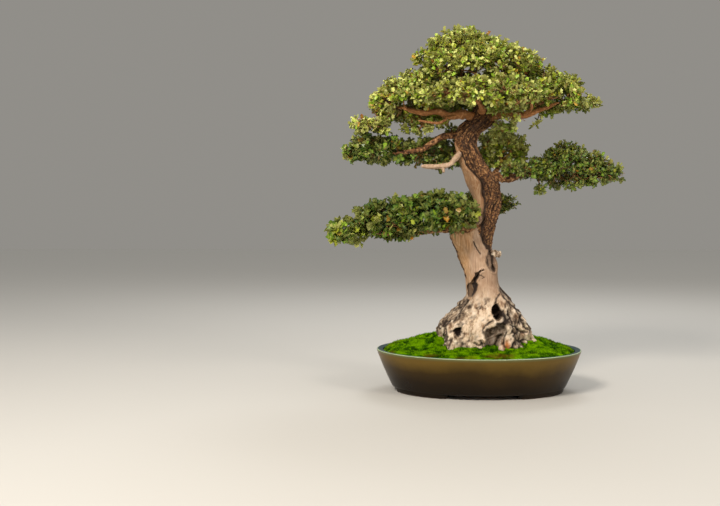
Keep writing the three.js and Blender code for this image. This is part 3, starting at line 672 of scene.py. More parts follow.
# Furrows lie where a drawn-out noise crosses zero, with plates of bark between them.
furrowed = cloud(grained, (6, 6, 46), 12) + 0.3 * cloud(grained, (3, 3, 14), 36)
plates = np.minimum(1, 2.4 * np.abs(furrowed))
plates = np.maximum(plates, 0.85 * ease(cloud(grained, (13, 13, 30), 71), 0.05, 0.5))
flakes = np.minimum(1, 2.6 * np.abs(cloud(grained, (3.4, 3.4, 16), 13)))
ridges = cloud(grained, (15, 15, 60), 24)
bark_relief = -4.6 + 3.6 * plates + 2.2 * flakes + 2.2 * ridges + 1.1 * cloud(grained, (2.6, 2.6, 4), 14)

# Dead wood: long shallow channels and fine fibres, with a groove beside the live bark.
channels = cloud(grained, (15, 15, 120), 15)
threads = cloud(grained, (2.4, 2.4, 60), 16)
wood_relief = 0.8 + 1.1 * channels + 0.3 * threads - 5 * np.exp(-(((inside + 2.4) / 3) ** 2))

# Splits in the dead wood at the sides and back, each a groove along points of height and turn.
split = 0 * inside
for line in SPLITS:
    at, across = np.array(line, float).T
    order = np.argsort(at)
    aside = turned(degrees - np.interp(z, at[order], across[order]) + 0.6 * ragged) * per_degree
    reach = ease(z, at.min() - 4, at.min() + 8) * ease(z, at.max() + 4, at.max() - 8)
    split = np.maximum(split, reach * np.exp(-((aside / 1.8) ** 2)))

# Root flare: buttresses run down into the toes, and rot has eaten crags and cracks between them.
sloped = points_at(60 * np.cos(turn), 60 * np.sin(turn), 0.42 * z)
flare = ease(z + 14 * cloud(grained, (20, 20, 40), 17), 250, 190)
smooth = ease(40 - np.abs(turned(degrees + 108)) + 16 * cloud(grained, (18, 18, 26), 27), -8, 12)
rough = 1 - 0.8 * smooth
crags = [cloud(grained, (s, s, 1.3 * s), 19 + s) for s in (26, 13, 7, 4)]
cracks = [1 - np.minimum(1, 4.4 * np.abs(cloud(sloped, s, 50 + s))) for s in (15, 8)]
buttress = 1 - 2 * np.abs(cloud(sloped, 26, 18))
flare_relief = 4 * buttress + 2.4 * crags[0]
flare_relief += rough * (2.4 * crags[0] + 3.4 * crags[1] + 2.4 * crags[2] + 1.6 * crags[3])
flare_relief += (1 - rough) * (2 * cloud(sloped, 11, 29) + 1.2 * cloud(sloped, 5, 30) + 0.6 * crags[3])
flare_relief -= rough * (3.2 * cracks[0] + 1.6 * cracks[1])
push = 0 * degrees
for toe_turn, width, reach, top in TOES:
    push += reach * np.exp(-((turned(degrees - toe_turn) / width) ** 2)) * ease(z, top, 104)

relief = wood_relief - 3 * split
relief = relief * (1 - flare) + flare_relief * flare + push
relief = relief * (1 - bark) + bark * bark_relief + 3.4 * strip_bark
stripped_edge = ease(-np.cos(turn), 0.3, 0.9) * ease(z, 405, 425) * ease(z, 510, 480)
relief = relief + 3 * stripped_edge

# Features of the front, pressed straight back into it: cracks along their lines, with raised lips,
# and rotted hollows with ragged rims. A ridge is a crack with a depth below 0.
front = ease(-np.sin(turn), -0.05, 0.2) + 0 * z
seen_x = centre_x + beside + 1.6 * cloud(grained, (7, 7, 7), 31) + 0.7 * cloud(grained, (3, 3, 3), 32)
seen_z = z + 1.6 * cloud(grained, (7, 7, 7), 33) + 0.7 * cloud(grained, (3, 3, 3), 34)
crack_shade, pressed = 0 * relief, 0 * relief
for width, deep, line in CRACKS:
    away, _ = to_outline(seen_x, seen_z, line, False)
    groove = front * np.exp(-((away / (1.4 * width)) ** 2))
    # Painted shade: a crack's groove is painted dark.
    crack_shade = np.maximum(crack_shade, groove * (deep > 0))
    lips = 0.35 * abs(deep) * front * np.exp(-(((away - 3.2 * width) / width) ** 2))
    pressed = pressed + deep * groove - lips
hollow_shade, pits = 0 * relief, 0 * relief
for deep, painted_darkness, line in HOLLOWS:
    away, within_line = to_outline(seen_x, seen_z, line, True)
    edge = np.where(within_line, away, -away)
    relief = relief * (1 - 0.8 * front * ease(edge, -6, 0))
    pits = np.maximum(pits, deep * front * ease(edge, -0.6, 3.4) * (0.85 + 0.25 * crags[2]))
    pressed = pressed - 1.5 * front * np.exp(-(((edge + 2.4) / 1.8) ** 2))
    # Painted shade: the inside of each hollow is painted dark.
    hollow_shade = np.maximum(hollow_shade, painted_darkness * front * ease(edge, -0.6, 1.6))
pressed = pressed + pits

trunk_rings = points_at(
    centre_x + beside + relief * np.cos(turn), centre_y + before + relief * np.sin(turn) + pressed, z
)
trunk_points, trunk_faces = closed_tube(trunk_rings)

# Masks for the material, from 0 to 1: what is painted dark as shade in deep places, crusted, stained,
# warm in tone and painted light on the lower left, or painted in shade under the crown and on the
# right of the lower trunk.
# The bark's furrows are painted dark: partly the bark's own darker colour there, partly painted shade.
furrow = 0.95 * bark * (1 - plates * (0.55 + 0.45 * flakes))
# Painted shade: in the flare the cracks and the deepest crags are painted dark.
eaten = np.clip(-0.9 * (crags[1] + crags[2] + 0.8 * crags[3]) - 0.2, 0, 1)
flare_crack_shade = flare * (rough * (0.9 * cracks[0] + 0.55 * cracks[1]) + 0.9 * eaten)
# Painted shadow: the dead wood is painted dark along the live bark's left edge, under its overhang.
from_left = (degrees - left_edge + ragged) * per_degree
shadow_beside_bark = ease(from_left, -3, -0.5) * ease(from_left, 12, 4) * (z < 560) * (z > BARK_FOOT)
crevice_shade = np.maximum.reduce([furrow, hollow_shade, flare_crack_shade, 0.9 * shadow_beside_bark, 0.85 * split, crack_shade])
crevice_shade = np.clip(crevice_shade, 0, 1)
crust = flare * ease(cloud(grained, (24, 24, 30), 28) + 0.5 * rough - 0.25, -0.1, 0.45)
crust = np.maximum(crust, flare * 0.9 * ease(np.abs(turned(degrees + 90)), 62, 80) * ease(z, 120, 150))
face_x = centre_x + beside
stain = np.exp(-(((face_x - 58) / 9) ** 2) - ((z - 112) / 13) ** 2) * (np.sin(turn) < 0)
# The lower left face is painted lighter and warmer, a painted light; above 400 mm the warm tan is the
# strip's own colour.
warm_and_lit = (1 - flare) * ease(-face_x + 14 * cloud(grained, (20, 20, 50), 35), 10, 34)
warm_and_lit = np.maximum(warm_and_lit, 0.75 * ease(z, 400, 440))
shaded = 0.45 * ease(z, 392, 440) + 0 * turn
# Painted shade on the right of the lower trunk, which faces away from the light.
shaded += 0.3 * ease(face_x, 2, 36) * ease(z, 222, 246) * ease(z, 345, 320)

# Old oak wood and bark. Stripped wood is tan, with a warm tan on the upper strip, and the lower left face
# is painted lighter and warmer as painted light; the rotted flare is bleached cream with brown flecks;
# live bark is nearly black in its furrows, partly its own colour and partly painted shade, and tan on its
# plates.
wood, tree, shader, place = finish_named("weathered_oak_wood_and_bark")
STREAK, BLOTCH, SPECK, FLECK = 3.03, 29.4, 4.35, 9.52  # millimetres across
marks = {
    name: put(tree, "Attribute", attribute_name=name).outputs["Fac"]
    for name in ("bark", "flare", "crevice_shade", "stain", "crust", "warm_and_lit", "shaded")
}
long_grain = put(tree, "Mapping", {"Vector": place, "Scale": (1, 1, 0.09)})
streaks = put(tree, "TexNoise", {"Vector": long_grain, "Scale": 1000 / STREAK, "Detail": 4})
blotches = put(tree, "TexNoise", {"Vector": place, "Scale": 1000 / BLOTCH, "Detail": 6})
specks = put(tree, "TexNoise", {"Vector": place, "Scale": 1000 / SPECK, "Detail": 6})
down = put(tree, "Mapping", {"Vector": place, "Scale": (1, 1, 0.4)})
flecks = put(tree, "TexNoise", {"Vector": down, "Scale": 1000 / FLECK, "Detail": 6, "Roughness": 0.6})
shades = {}
for name, noise, stops in [
    ("pale", streaks, [(0.28, "#9A7A60"), (0.45, "#B99779"), (0.6, "#CBAC90"), (0.78, "#E0C8B0")]),
    ("warm_and_lit", streaks, [(0.3, "#B27E4C"), (0.5, "#D8A674"), (0.7, "#F0CEA4")]),
    ("greyed", blotches, [(0.35, "#7E6656"), (0.55, "#AE917C"), (0.75, "#DAC6B2")]),
    ("bleached", flecks, [(0.32, "#6A4E36"), (0.4, "#AE9074"), (0.48, "#DEC6AA"), (0.7, "#FCEAD6")]),
    ("crusted", flecks, [(0.38, "#2E2218"), (0.47, "#6E5946"), (0.56, "#BEA88E"), (0.68, "#FAECD6")]),
    ("plates", specks, [(0.34, "#28160A"), (0.45, "#56331A"), (0.55, "#845A32"), (0.68, "#BE9260")]),
]:
    shades[name] = put(tree, "ValToRGB", {0: noise}, stops)
under = shades["pale"].outputs[0]
# Mixed in turn: the shaded mark paints shade; the crevice mark paints shade in hollows, cracks, splits
# and furrows.
for share, over in [
    (0.35, shades["greyed"]), (marks["warm_and_lit"], shades["warm_and_lit"]), (marks["shaded"], linear("#573820")),
    (marks["flare"], shades["bleached"]), (marks["crust"], shades["crusted"]),
    (marks["bark"], shades["plates"]), (marks["stain"], linear("#C4701E")),
    (marks["crevice_shade"], linear("#24140A")),
]:
    under = put(tree, "Mix", {0: share, 6: under, 7: over}, data_type="RGBA").outputs[2]
raised = put(tree, "Bump", {"Height": streaks, "Strength": 0.5, "Distance": 0.0012})
raised = put(tree, "Bump", {"Height": flecks, "Strength": 0.6, "Distance": 0.003, "Normal": raised})
feed(tree, shader, {"Base Color": under, "Roughness": 0.75, "Normal": raised})

trunk = add_piece("trunk", trunk_points, trunk_faces, wood, "wood", "trunk")
for name, values in [
    ("bark", bark), ("flare", flare), ("crevice_shade", crevice_shade), ("stain", 0.95 * stain),
    ("crust", crust), ("warm_and_lit", 0.85 * warm_and_lit), ("shaded", shaded),
]:
    write_value(trunk, name, np.append(values.ravel(), [values[0, 0], values[-1, 0]]))


# Limbs and snags
# Ten limbs leave the trunk, with three side branches, and carry the pads of foliage. Years of
# wiring have kinked them. They are thick at the collar, and their bark is reddish and scaly.

LIMBS = [
    ([[-6, -8, 379], [-50, -30, 383], [-94, -45, 379], [-186, -55, 372], [-270, -54, 374]], 14, 5),
    ([[16, 4, 496], [56, 2, 503], [97, 6, 506], [144, 10, 518], [200, 10, 524], [250, 6, 523]], 13, 5),
    ([[-32, -2, 596], [-62, -6, 602], [-84, -9, 598],
     [-104, -12, 584], [-134, -14, 569], [-200, -8, 556]], 10, 5),
    ([[0, 0, 632], [-30, -20, 643], [-72, -32, 646],
     [-100, -36, 648], [-140, -34, 651], [-190, -22, 664]], 13, 5),
    ([[-40, -24, 640], [-75, -44, 638], [-84, -48, 630],
     [-98, -50, 623], [-115, -50, 624], [-145, -44, 630]], 5, 3),
    ([[6, 0, 630], [36, -18, 642], [61, -32, 648],
     [102, -34, 644], [136, -32, 657], [184, -18, 672]], 10, 4),
    ([[4, -2, 648], [0, -44, 660], [-18, -88, 672]], 10, 5),
    ([[8, 2, 650], [12, 50, 662], [0, 92, 676]], 10, 5),
    ([[10, 4, 478], [38, 34, 506], [56, 64, 536], [64, 78, 560]], 10, 5),
    ([[18, 8, 408], [30, 44, 422], [26, 92, 440]], 10, 5),
    ([[-30, 2, 566], [-48, 46, 566], [-64, 100, 566]], 10, 5),
    ([[86, -15, 644], [108, -62, 656], [104, -92, 670]], 6, 4),
    ([[61, -32, 648], [86, -38, 631], [94, -38, 634]], 3.5, 2),
]  # points from the trunk outwards, then the radius at the trunk and at the tip
BARE_LIMBS = LIMBS[2:6]  # their shoots are pinched off in front, so that their lines show
SNAGS = [
    ([[-26, -2, 566], [-44, -12, 558], [-58, -18, 543], [-70, -21, 531], [-88, -23, 527],
     [-107, -25, 526], [-138, -28, 526]], 6.4, 5.2),
    ([[-88, -23, 529], [-84, -27, 511]], 4, 2.6),
    ([[28, 2, 318], [42, -2, 322], [52, -6, 319]], 11, 7),
]
KNOT_TOP = 400  # the knot is the only snag below this height


def tubes(paths, radii, sides):
    """Rings of points round each of n paths of k points, as an array n by k by sides by 3. A ring is
    a circle in the plane of two directions square to the path, found by cross products."""
    along = unit(np.gradient(paths, axis=1))
    across = unit(np.cross(along, [0.13, 0.35, 0.93]))
    over = np.cross(along, across)
    turn = 2 * np.pi * np.arange(sides)[:, None] / sides
    spokes = np.cos(turn) * across[:, :, None] + np.sin(turn) * over[:, :, None]
    return paths[:, :, None] + radii[:, :, None, None] * spokes


def join(shells):
    """Closed tubes of any sizes as one set of points and faces."""
    points, faces, count = [], [], 0
    for rings in shells:
        shell_points, shell_faces = closed_tube(rings, count)
        points.append(shell_points)
        faces += shell_faces
        count += len(shell_points)
    return np.vstack(points), faces


def limb_line(points, spacing, kinks=4):
    """A limb's middle line: a smooth line through its points, kinked by a few millimetres."""
    points = np.array(points, float)
    steps = np.linalg.norm(np.diff(points, axis=0), axis=1)
    at = np.concatenate([[0], np.cumsum(steps)])
    where = np.linspace(0, at[-1], max(4, int(at[-1] / spacing)))
    line = through(at, points, where)
    wander = np.stack([cloud(line, 34, seed) for seed in (41, 42, 43)], -1)
    return line + kinks * wander * ease(where, 0, 30)[:, None]


# A limb is a tube along its line. Its radius falls evenly from trunk to tip, with a collar that
# fades in 14 mm and a closed end, and the scales of its bark move the rings' points out and in.
LIMB_STEP = 4
limb_lines = [limb_line(points, LIMB_STEP) for points, *_ in LIMBS]
limb_shells = []
for line, (points, start, end) in zip(limb_lines, LIMBS):
    share = np.linspace(0, 1, len(line))
    length = LIMB_STEP * len(line)
    radius = 0.85 * (start + (end - start) * share + 0.5 * start * np.exp(-share * length / 14))
    radius = radius * (1 + 0.13 * cloud(line, 16, 44)) * np.sqrt(np.clip(1.02 - share**12, 0, 1))
    rings = tubes(line[None], radius[None], 16)[0]
    middle = line[:, None]
    scales = np.minimum(1, 2.6 * np.abs(cloud(rings, 9, 45))) + 0.6 * cloud(rings, 4, 46)
    limb_shells.append(middle + (rings - middle) * (1 + 0.2 * (scales - 0.6))[..., None])

# Live oak bark on thin limbs: reddish brown scales over darker cracks, matte, and painted paler and more
# orange in the crown as a painted highlight.
scaly, tree, shader, place = finish_named("scaly_oak_bark")
SCALE_SIZE = 5.88  # millimetres across
CROWN_FOOT, CROWN_LIT = 0.6, 0.64  # metres; above them the limbs are painted paler, a painted highlight
scales = put(tree, "TexNoise", {"Vector": place, "Scale": 1000 / SCALE_SIZE, "Detail": 6})
scale_stops = [(0.34, "#20110A"), (0.46, "#5E3B1E"), (0.57, "#946840"), (0.72, "#CCA478")]
scale_colour = put(tree, "ValToRGB", {0: scales}, scale_stops)
height = put(tree, "SeparateXYZ", {0: place}).outputs["Z"]
# Higher up, in the crown, the limbs are painted paler and more orange: a painted highlight of the light
# there.
sunlit = put(tree, "MapRange", {"Value": height, 1: CROWN_FOOT, 2: CROWN_LIT, 3: 0, 4: 0.5})
limb_colour = put(tree, "Mix", {0: sunlit, 6: scale_colour, 7: linear("#CC8A50")}, data_type="RGBA")
lifted = put(tree, "Bump", {"Height": scales, "Strength": 0.8, "Distance": 0.0015})
feed(tree, shader, {"Base Color": limb_colour.outputs[2], "Roughness": 0.85, "Normal": lifted})

limb_points, limb_faces = join(limb_shells)
add_piece("limbs", limb_points, limb_faces, scaly, "wood", "trunk")

# The snags are dead stubs of the trunk's own wood, split along the grain: a bare forked branch on
# the left, and a lumpy knot on the right.
snag_shells = []
for points, start, end in SNAGS:
    line = limb_line(points, 2, 0.8)
    share = np.linspace(0, 1, len(line))
    radius = start + (end - start) * share
    radius = radius * (1 + 0.12 * cloud(line, 14, 47)) * np.sqrt(np.clip(1.03 - share**24, 0, 1))
    rings = tubes(line[None], radius[None], 24)[0]
    middle = line[:, None]
    splits = np.abs(cloud(rings, (20, 5, 5), 48)) + 0.5 * cloud(rings, (9, 3, 3), 49)
    lumps = 0.3 * cloud(rings, 9, 51) * (rings[..., 2] < KNOT_TOP)
    snag_shells.append(middle + (rings - middle) * (0.94 + 0.22 * splits + lumps)[..., None])
snag_points, snag_faces = join(snag_shells)
snags = add_piece("snags", snag_points, snag_faces, wood, "wood", "trunk")
knot = (snag_points[:, 2] < KNOT_TOP).astype(float)
write_value(snags, "flare", 0.25 + 0.75 * knot)
write_value(snags, "crust", 0.85 * knot)
# The knot is painted darker with the shade mark, a painted shade.
write_value(snags, "shaded", 0.45 * knot)


# Foliage
# Eleven pads of small, stiff, holly-like leaves. Each pad is a few domes of shoots on fine twigs,
# and each shoot carries a rosette of seven toothed leaves, 9 to 14 mm long and larger in the shade.

PADS = {
    "crown_top": [
        ((-4, 0, 750), (126, 124), 62, 38), ((-49, -2, 778), (80, 80), 58, 30),
        ((32, 0, 801), (34, 40), 18, 14), ((-143, 0, 777), (10, 16), 8, 6),
        ((4, 0, 811), (24, 40), 17, 12),
    ],
    "crown_right": [
        ((165, 0, 684), (68, 90), 50, 25), ((238, -4, 671), (32, 46), 9, 6),
        ((196, 0, 717), (30, 40), 16, 12), ((150, 0, 742), (18, 24), 8, 10),
        ((174, -10, 658), (14, 14), 6, 8), ((133, -20, 626), (3, 5), 7, 9),
        ((146, -20, 651), (12, 12), 5, 6), ((46, 14, 626), (12, 12), 6, 6),
    ],
    "crown_left": [
        ((-173, 0, 674), (81, 90), 44, 34), ((-254, -5, 627), (39, 54), 9, 22),
        ((-156, 0, 712), (42, 60), 30, 24), ((-126, -6, 644), (52, 44), 18, 16),
        ((-163, -4, 613), (18, 12), 6, 6), ((-130, -6, 623), (28, 14), 6, 7),
        ((-62, 14, 613), (13, 10), 6, 6),
    ],
    "crown_front": [
        ((-4, -110, 680), (128, 56), 28, 18), ((50, -70, 646), (40, 34), 24, 22),
        ((54, -40, 614), (22, 14), 5, 5),
    ],
    "crown_back": [((0, 112, 682), (124, 58), 30, 20)],
    "low_left": [
        ((-90, -52, 406), (74, 66), 54, 24), ((-212, -52, 394), (76, 58), 49, 22),
        ((-200, -52, 367), (28, 30), 6, 6), ((-309, -48, 376), (38, 42), 18, 19),
        ((-164, -52, 432), (24, 30), 16, 14), ((-247, -52, 428), (19, 30), 14, 10),
    ],
    "mid_left": [
        ((-259, 4, 560), (56, 54), 22, 18), ((-262, 0, 592), (24, 26), 6, 6),
        ((-196, 20, 566), (40, 46), 26, 24), ((-138, 30, 561), (62, 48), 22, 28),
        ((-106, 10, 585), (20, 14), 5, 8), ((-84, 26, 541), (29, 24), 10, 14),
    ],
    "right": [
        ((206, 10, 532), (58, 62), 44, 57), ((283, 4, 514), (45, 46), 19, 29),
        ((265, 4, 536), (24, 36), 14, 10), ((138, 6, 510), (44, 34), 24, 11),
        ((136, -6, 474), (15, 12), 10, 12), ((86, -6, 519), (32, 30), 12, 7),
        ((88, -24, 522), (10, 8), 8, 8),
    ],
    "back_right": [
        ((60, 84, 572), (58, 46), 42, 38), ((104, 62, 566), (16, 16), 14, 20),
        ((36, 24, 606), (13, 12), 8, 10), ((40, 60, 538), (14, 14), 8, 8),
    ],
    "back_mid": [((-76, 132, 566), (60, 50), 28, 24)], "back_low": [((26, 112, 440), (74, 52), 22, 14)],
}  # each dome: centre, half length and half depth, rise, fall
SUN = {
    "crown_top": 0.84, "crown_right": 0.73, "crown_left": 0.9, "crown_front": 0.91, "crown_back": 0.6,
    "back_right": 0.8,
}  # how sunlit and so how pale a pad's leaves are
SHADE = 0.38  # the same for the other pads
SHADE_LEAVES = {"low_left": 1.55, "mid_left": 1.15}  # how much larger leaves grow in deep shade
OPENINGS = [((-24, -80, 728), (42, 66), 13, 12), ((-99, -30, 638), (15, 60), 6, 5)]  # domes left bare
# The inner layer's leaves are painted darker, a painted shade deep in the pad.
LAYERS = [(0, 12.4, 0), (-15, 27, -0.35)]  # place along the dome's outward way, spacing, how much darker
SMALL_DOME = 40  # half length below which a dome has no inner layer
OVERLAP = 14  # shoots this deep inside another dome are left out
LIMB_CLEARANCE = 10  # half height of the gap in the shoots before a bare limb
SHOOT_LENGTH = 16
LEAVES_ON_SHOOT = 7
LEAF_LENGTH, LEAF_WIDTH = 12, 8.5
GOLDEN_ANGLE = 2.399963

# One leaf: its margin from the stalk round by the right to the tip and back, two spiny teeth a
# side, then the middle of the midrib above and below. Share of length, share of width, lift.
side = [(0.24, 0.48, 2.3), (0.48, 0.34, 0.7), (0.72, 0.48, 2.2)]
leaf_form = np.array(
    [(0, 0, 0)]
    + [(s, -w, lift) for s, w, lift in side]
    + [(1, 0, -1.6)]
    + [(s, w, lift) for s, w, lift in side[::-1]]
    + [(0.48, 0, 0), (0.48, 0, -0.8)]
)
upper = [(i, (i + 1) % 8, 8) for i in range(8)]
lower = [((i + 1) % 8, i, 9) for i in range(8)]
leaf_faces = np.array(upper + lower)


def on_dome(dome, direction, extra):
    """Points of a dome in unit directions: an ellipsoid with one height above its middle and another
    below, swollen by two waves and then grown by a distance."""
    (cx, cy, cz), (a, b), rise, fall = dome
    ux, uy, uz = direction.T
    lump = 1 + 0.07 * np.sin(5 * ux + cx) * np.cos(4 * uy + cy) + 0.04 * np.sin(7 * uz)
    up = np.where(uz > 0, rise, fall)
    grown = [axis * lump + extra for axis in (a, b, up)]
    return points_at(cx + grown[0] * ux, cy + grown[1] * uy, cz + grown[2] * uz)


def spread_over(dome, spacing, lowest):
    """Directions spaced evenly over a dome's area: a spiral of many directions a golden angle
    apart, of which one is kept each time the area passed has grown by the spacing squared."""
    _, (a, b), rise, fall = dome
    count = 20000
    uz = 1 - (1 - lowest) * (np.arange(count) + 0.5) / count
    turn = np.arange(count) * GOLDEN_ANGLE
    flat = np.sqrt(1 - uz**2)
    direction = points_at(flat * np.cos(turn), flat * np.sin(turn), uz)
    up = np.where(uz > 0, rise, fall)
    area = np.sqrt((b * up * direction[:, 0]) ** 2 + (a * up * direction[:, 1]) ** 2 + (a * b * uz) ** 2)
    area = np.cumsum(area) * 2 * np.pi * (1 - lowest) / count
    wanted = np.arange(spacing**2 / 2, area[-1], spacing**2)
    return direction[np.searchsorted(area, wanted)]


def within(points, dome, grow):
    """True for points inside the ellipsoid of a dome grown by a distance. A dome that would shrink
    past nothing keeps a small core, because its sizes count without their sign."""
    centre, (a, b), rise, fall = dome
    apart = points - centre
    up = np.where(apart[:, 2] > 0, rise, fall)
    sizes = np.stack([a + 0 * up, b + 0 * up, up], -1) + grow
    return np.sum((apart / np.where(sizes == 0, 0.001, sizes)) ** 2, axis=1) < 1


# Branches may start anywhere on the limbs and on the last part of the trunk, called the leader.
leader_z = np.linspace(650, 730, 20)
leader = np.column_stack([through(STATIONS[:, 0], STATIONS[:, 1:3], leader_z), leader_z])
carriers = limb_lines + [leader]
carrier_points = np.vstack(carriers)
carrier_aim = np.vstack([unit(np.gradient(line, axis=0)) for line in carriers])
carrier_reach = np.concatenate([LIMB_STEP * np.arange(len(line)) for line in carriers])
carrier_radius = np.full(len(carrier_points), 4.0)


def bow(start, pull, end, steps):
    """Quadratic curves from start to end, drawn towards pull."""
    t = np.linspace(0, 1, steps)[None, :, None]
    return (1 - t) ** 2 * start[:, None] + 2 * t * (1 - t) * pull[:, None] + t**2 * end[:, None]


def clusters(points, count):
    """Middles of groups of points: a few rounds in which each middle moves to its group's mean."""
    middles = points[np.linspace(0, len(points) - 1, count).astype(int)].copy()
    for _ in range(6):
        nearest = np.argmin(np.linalg.norm(points[:, None] - middles[None], axis=2), axis=1)
        for i in range(count):
            if np.any(nearest == i):
                middles[i] = points[nearest == i].mean(0)
    return middles, nearest


# Oak leaf: leathery and glossy, olive to yellow in sun, grey-green and dull beneath, with a few
# fresh green leaves and a few that have turned ochre or rust.
leathery, tree, shader, place = finish_named("leathery_oak_leaf")
MOTTLE = 2  # millimetres across
colours = put(tree, "Attribute", attribute_name="leaf")
parts = put(tree, "SeparateColor", {0: colours.outputs["Color"]})
tint, underside, youth = (parts.outputs[name] for name in ("Red", "Green", "Blue"))
ripe_stops = [(0.0, "#191B02"), (0.25, "#4A4E09"), (0.5, "#868C18"), (0.75, "#BAC238")]
ripe_stops += [(0.93, "#DFE688"), (0.96, "#D0902A"), (1.0, "#98501E")]
ripe = put(tree, "ValToRGB", {0: tint}, ripe_stops)
fresh = put(tree, "ValToRGB", {0: tint}, [(0.0, "#0E2002"), (0.4, "#3E6C0A"), (0.9, "#98CC26")])
mottled = put(tree, "TexNoise", {"Vector": place, "Scale": 1000 / MOTTLE, "Detail": 2})
mottle = put(tree, "MapRange", {"Value": mottled, 1: 0.3, 2: 0.7, 3: 0.7, 4: 1.2})
deep_green = put(tree, "Attribute", attribute_name="deep").outputs["Fac"]
veined = put(tree, "Math", {0: colours.outputs["Alpha"], 1: mottle}, operation="MULTIPLY")
under = ripe.outputs[0]
for share, over in [
    (youth, fresh), (deep_green, linear("#3C6838")), (veined, linear("#C4CA58")),
    (underside, linear("#A2A45C")),
]:
    under = put(tree, "Mix", {0: share, 6: under, 7: over}, data_type="RGBA").outputs[2]
dull = put(tree, "MapRange", {"Value": underside, 3: 0.32, 4: 0.6})
feed(tree, shader, {"Base Color": under, "Roughness": dull, "IOR": 1.5, "Specular IOR Level": 0.36})

# Young twigs: smooth reddish-brown bark.
twig_bark, tree, shader, place = finish_named("young_oak_twig")
TWIG_SPOT = 4.17  # millimetres across
spots = put(tree, "TexNoise", {"Vector": place, "Scale": 1000 / TWIG_SPOT, "Detail": 3})
spotted = put(tree, "ValToRGB", {0: spots}, [(0.3, "#5E3C1E"), (0.55, "#A47444"), (0.8, "#DCB27E")])
feed(tree, shader, {"Base Color": spotted, "Roughness": 0.7})

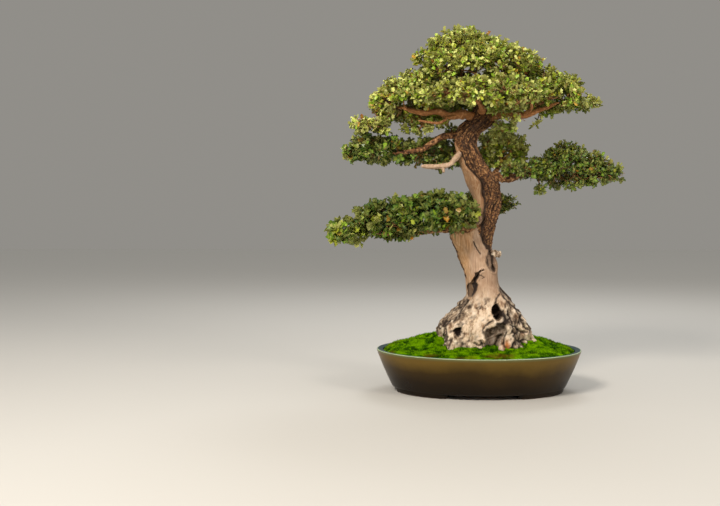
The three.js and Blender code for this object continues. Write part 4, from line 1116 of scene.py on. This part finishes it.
all_domes = [dome for domes in PADS.values() for dome in domes]
bare_lines = [line for line, limb in zip(limb_lines, LIMBS) if limb in BARE_LIMBS]
branch_shells = []
for number, (name, domes) in enumerate(PADS.items()):
    random = np.random.default_rng(200 + number)
    growth = SHADE_LEAVES.get(name, 1)
    tips, aims, shades, dressed = [], [], [], []
    for dome in domes:
        _, (a, b), rise, fall = dome
        for depth, spacing, dark in LAYERS:
            if depth < 0 and a < SMALL_DOME:
                continue
            if depth == 0:
                spacing = spacing * growth**0.8
            direction = spread_over(dome, spacing, -0.85)
            tip = on_dome(dome, direction, depth)
            tip += direction * (8 * cloud(tip, 42, 61) + random.uniform(-6, 8, len(tip)))[:, None]
            tip += random.normal(0, 2.5, tip.shape)
            keep = (cloud(tip, 26, 62) > -0.72) | (depth < 0)
            for other in all_domes:
                if other is not dome:
                    keep &= ~within(tip, other, -OVERLAP)
            for opening in OPENINGS:
                keep &= ~within(tip, opening, 0)
            for line in bare_lines:
                away = np.linalg.norm(tip[:, None, [0, 2]] - line[None, :, [0, 2]], axis=2)
                ahead = tip[:, 1] < line[np.argmin(away, axis=1), 1] + 6
                keep &= ~((away.min(axis=1) < LIMB_CLEARANCE) & ahead)
            aim = unit(direction / [a, b, (rise + fall) / 2])
            aim = unit(aim + [0, 0, 0.35] + random.normal(0, 0.38, direction.shape))
            leafy = (direction[:, 2] > -0.1) | (random.uniform(0, 1, len(tip)) > 0.45)
            leafy |= (direction[:, 1] > 0.2) | (a < 30)
            tips.append(tip[keep])
            aims.append(aim[keep])
            shades.append(np.full(keep.sum(), dark))
            dressed.append(leafy[keep])
    tip = np.vstack(tips)
    aim = np.vstack(aims)
    shade = np.concatenate(shades)

    # Branches run to the middle of each group of shoots, nearest group first, each from the limb or
    # earlier branch that it reaches by the shortest way. A twig goes on to each shoot.
    groups, nearest = clusters(tip, max(3, len(tip) // 9))
    hearts = np.array([centre for centre, *_ in domes], float)
    home = hearts[np.argmin(np.linalg.norm(groups[:, None] - hearts[None], axis=2), axis=1)]
    forks = groups + (home - groups) * [0.22, 0.22, 0.45]
    stems, stem_aim, stem_reach, stem_radius = carrier_points, carrier_aim, carrier_reach, carrier_radius
    distance = np.linalg.norm(forks[:, None] - carrier_points[None], axis=2).min(axis=1)
    for i in np.argsort(distance):
        away = np.linalg.norm(stems - forks[i], axis=1)
        chosen = np.argmin(away + 0.3 * stem_reach)
        start, span = stems[chosen], away[chosen]
        pull = start + stem_aim[chosen] * 0.45 * span + [0, 0, 0.06 * span]
        branch = bow(start[None], pull[None], forks[i : i + 1], 7)
        bend = np.linspace(0, 1, 7)[None, :, None] * (1.6 + 0.05 * span)
        branch += bend * np.stack([cloud(branch, 16, seed) for seed in (63, 64, 65)], -1)
        forks[i] = branch[0, -1]
        thick = min(stem_radius[chosen], 1.5 + 2.4 * min(1, span / 90))
        radius = thick * np.linspace(1, 0.55, 7)
        branch_shells.append(tubes(branch, radius[None], 5)[0])
        stems = np.vstack([stems, branch[0, 2:]])
        stem_aim = np.vstack([stem_aim, unit(np.gradient(branch[0], axis=0))[2:]])
        stem_reach = np.append(stem_reach, stem_reach[chosen] + span * np.linspace(0, 1, 7)[2:])
        stem_radius = np.append(stem_radius, radius[2:])

    twig = bow(forks[nearest], tip - aim * SHOOT_LENGTH, tip + aim * 3, 3)
    branch_shells += list(tubes(twig, np.tile(np.linspace(1.6, 0.8, 3), (len(tip), 1)), 3))

    # The leaves go round each shoot, a golden angle apart, the last ones nearer to its tip. Each is
    # the leaf's form laid along three directions of its own: along, right and facing.
    leafy = np.flatnonzero(np.concatenate(dressed))
    order = np.tile(np.arange(LEAVES_ON_SHOOT), len(leafy))
    owner = np.repeat(leafy, LEAVES_ON_SHOOT)
    count = len(owner)
    axis = aim[owner]
    root = tip[owner] + axis * (-11 + 1.9 * order + random.uniform(-1, 1, count))[:, None]
    around = order * 2.4 + random.uniform(0, 2 * np.pi, len(tip))[owner] + random.normal(0, 0.25, count)
    across = unit(np.cross(axis, [0.31, 0.2, 0.93]))
    over = np.cross(axis, across)
    spoke = np.cos(around)[:, None] * across + np.sin(around)[:, None] * over
    rise = np.radians(10 + 6 * order + random.normal(0, 22, count))[:, None]
    along = unit(np.cos(rise) * spoke + np.sin(rise) * axis + random.normal(0, 0.1, axis.shape))
    facing = axis + [0, 0, 0.4] + random.normal(0, 0.5, axis.shape)
    facing = unit(facing - along * np.sum(facing * along, axis=1)[:, None])
    right = np.cross(facing, along)
    size = growth * random.uniform(0.78, 1.15, count)[:, None, None]
    curl = random.uniform(-0.4, 1.7, (count, 1)) * leaf_form[:, 2]
    curl[:, 9] = -0.7
    blades = root[:, None] + size * (
        LEAF_LENGTH * leaf_form[:, :1] * along[:, None]
        + LEAF_WIDTH * leaf_form[:, 1:2] * right[:, None]
        + curl[..., None] * facing[:, None]
    )
    faces = (10 * np.arange(count)[:, None, None] + leaf_faces).reshape(-1, 3)
    node = f"foliage_{name}"
    leaves = add_piece(node, blades.reshape(-1, 3), [faces], leathery, "leaves", node, smooth=False)

    # A leaf's own tint (0.93 and below green, then ochre and rust), whether a face is its underside,
    # how fresh it is, and its midrib. A second value says how deep a green it has. The far left and
    # the top of back_right stand out of the crown's shade.
    sunny = name in SUN
    sun = SUN.get(name, SHADE) + shade[owner] + 0.26 * ease(root[:, 0], -235, -310)
    sun += 0.45 * (name == "back_right") * ease(root[:, 2], 560, 600)
    patch = 0.12 * cloud(root, 42, 61) + 0.07 * cloud(root, 15, 67)
    tint = sun - 0.25 + patch + random.normal(0, 0.21, count) + 0.04 * order
    tint = np.clip(tint, 0, 0.93 if sunny else 0.84)
    turning = random.uniform(0, 1, count)
    turning += 0.03 * cloud(root, 36, 69) - 0.03 * (not sunny)
    tint = np.where(turning > 0.98, 1.0, np.where(turning > 0.94, 0.955 if sunny else 0.985, tint))
    young = cloud(root, 22, 68) + random.normal(0, 0.5, count) + (0.12 if sunny else 0.28)
    young = ease(young, -0.05, 0.6) * (tint < 0.93)
    paint = np.zeros((count, len(leaf_faces), 3, 4), np.float32)
    paint[..., 0] = tint[:, None, None]
    paint[:, len(upper) :, :, 1] = np.clip(0.25 + tint, 0, 0.85)[:, None, None]
    paint[..., 2] = 0.85 * young[:, None, None]
    paint[..., 3] = 0.4 * (leaf_faces >= 8)
    leaves.data.attributes.new("leaf", "FLOAT_COLOR", "CORNER").data.foreach_set("color", paint.ravel())
    deep = np.clip(random.normal(0.05 if sunny else 0.35, 0.25, count), 0, 0.7)
    write_value(leaves, "deep", np.repeat(deep, len(leaf_form)))

branch_points, branch_faces = join(branch_shells)
add_piece("twigs", branch_points, branch_faces, twig_bark, "wood")
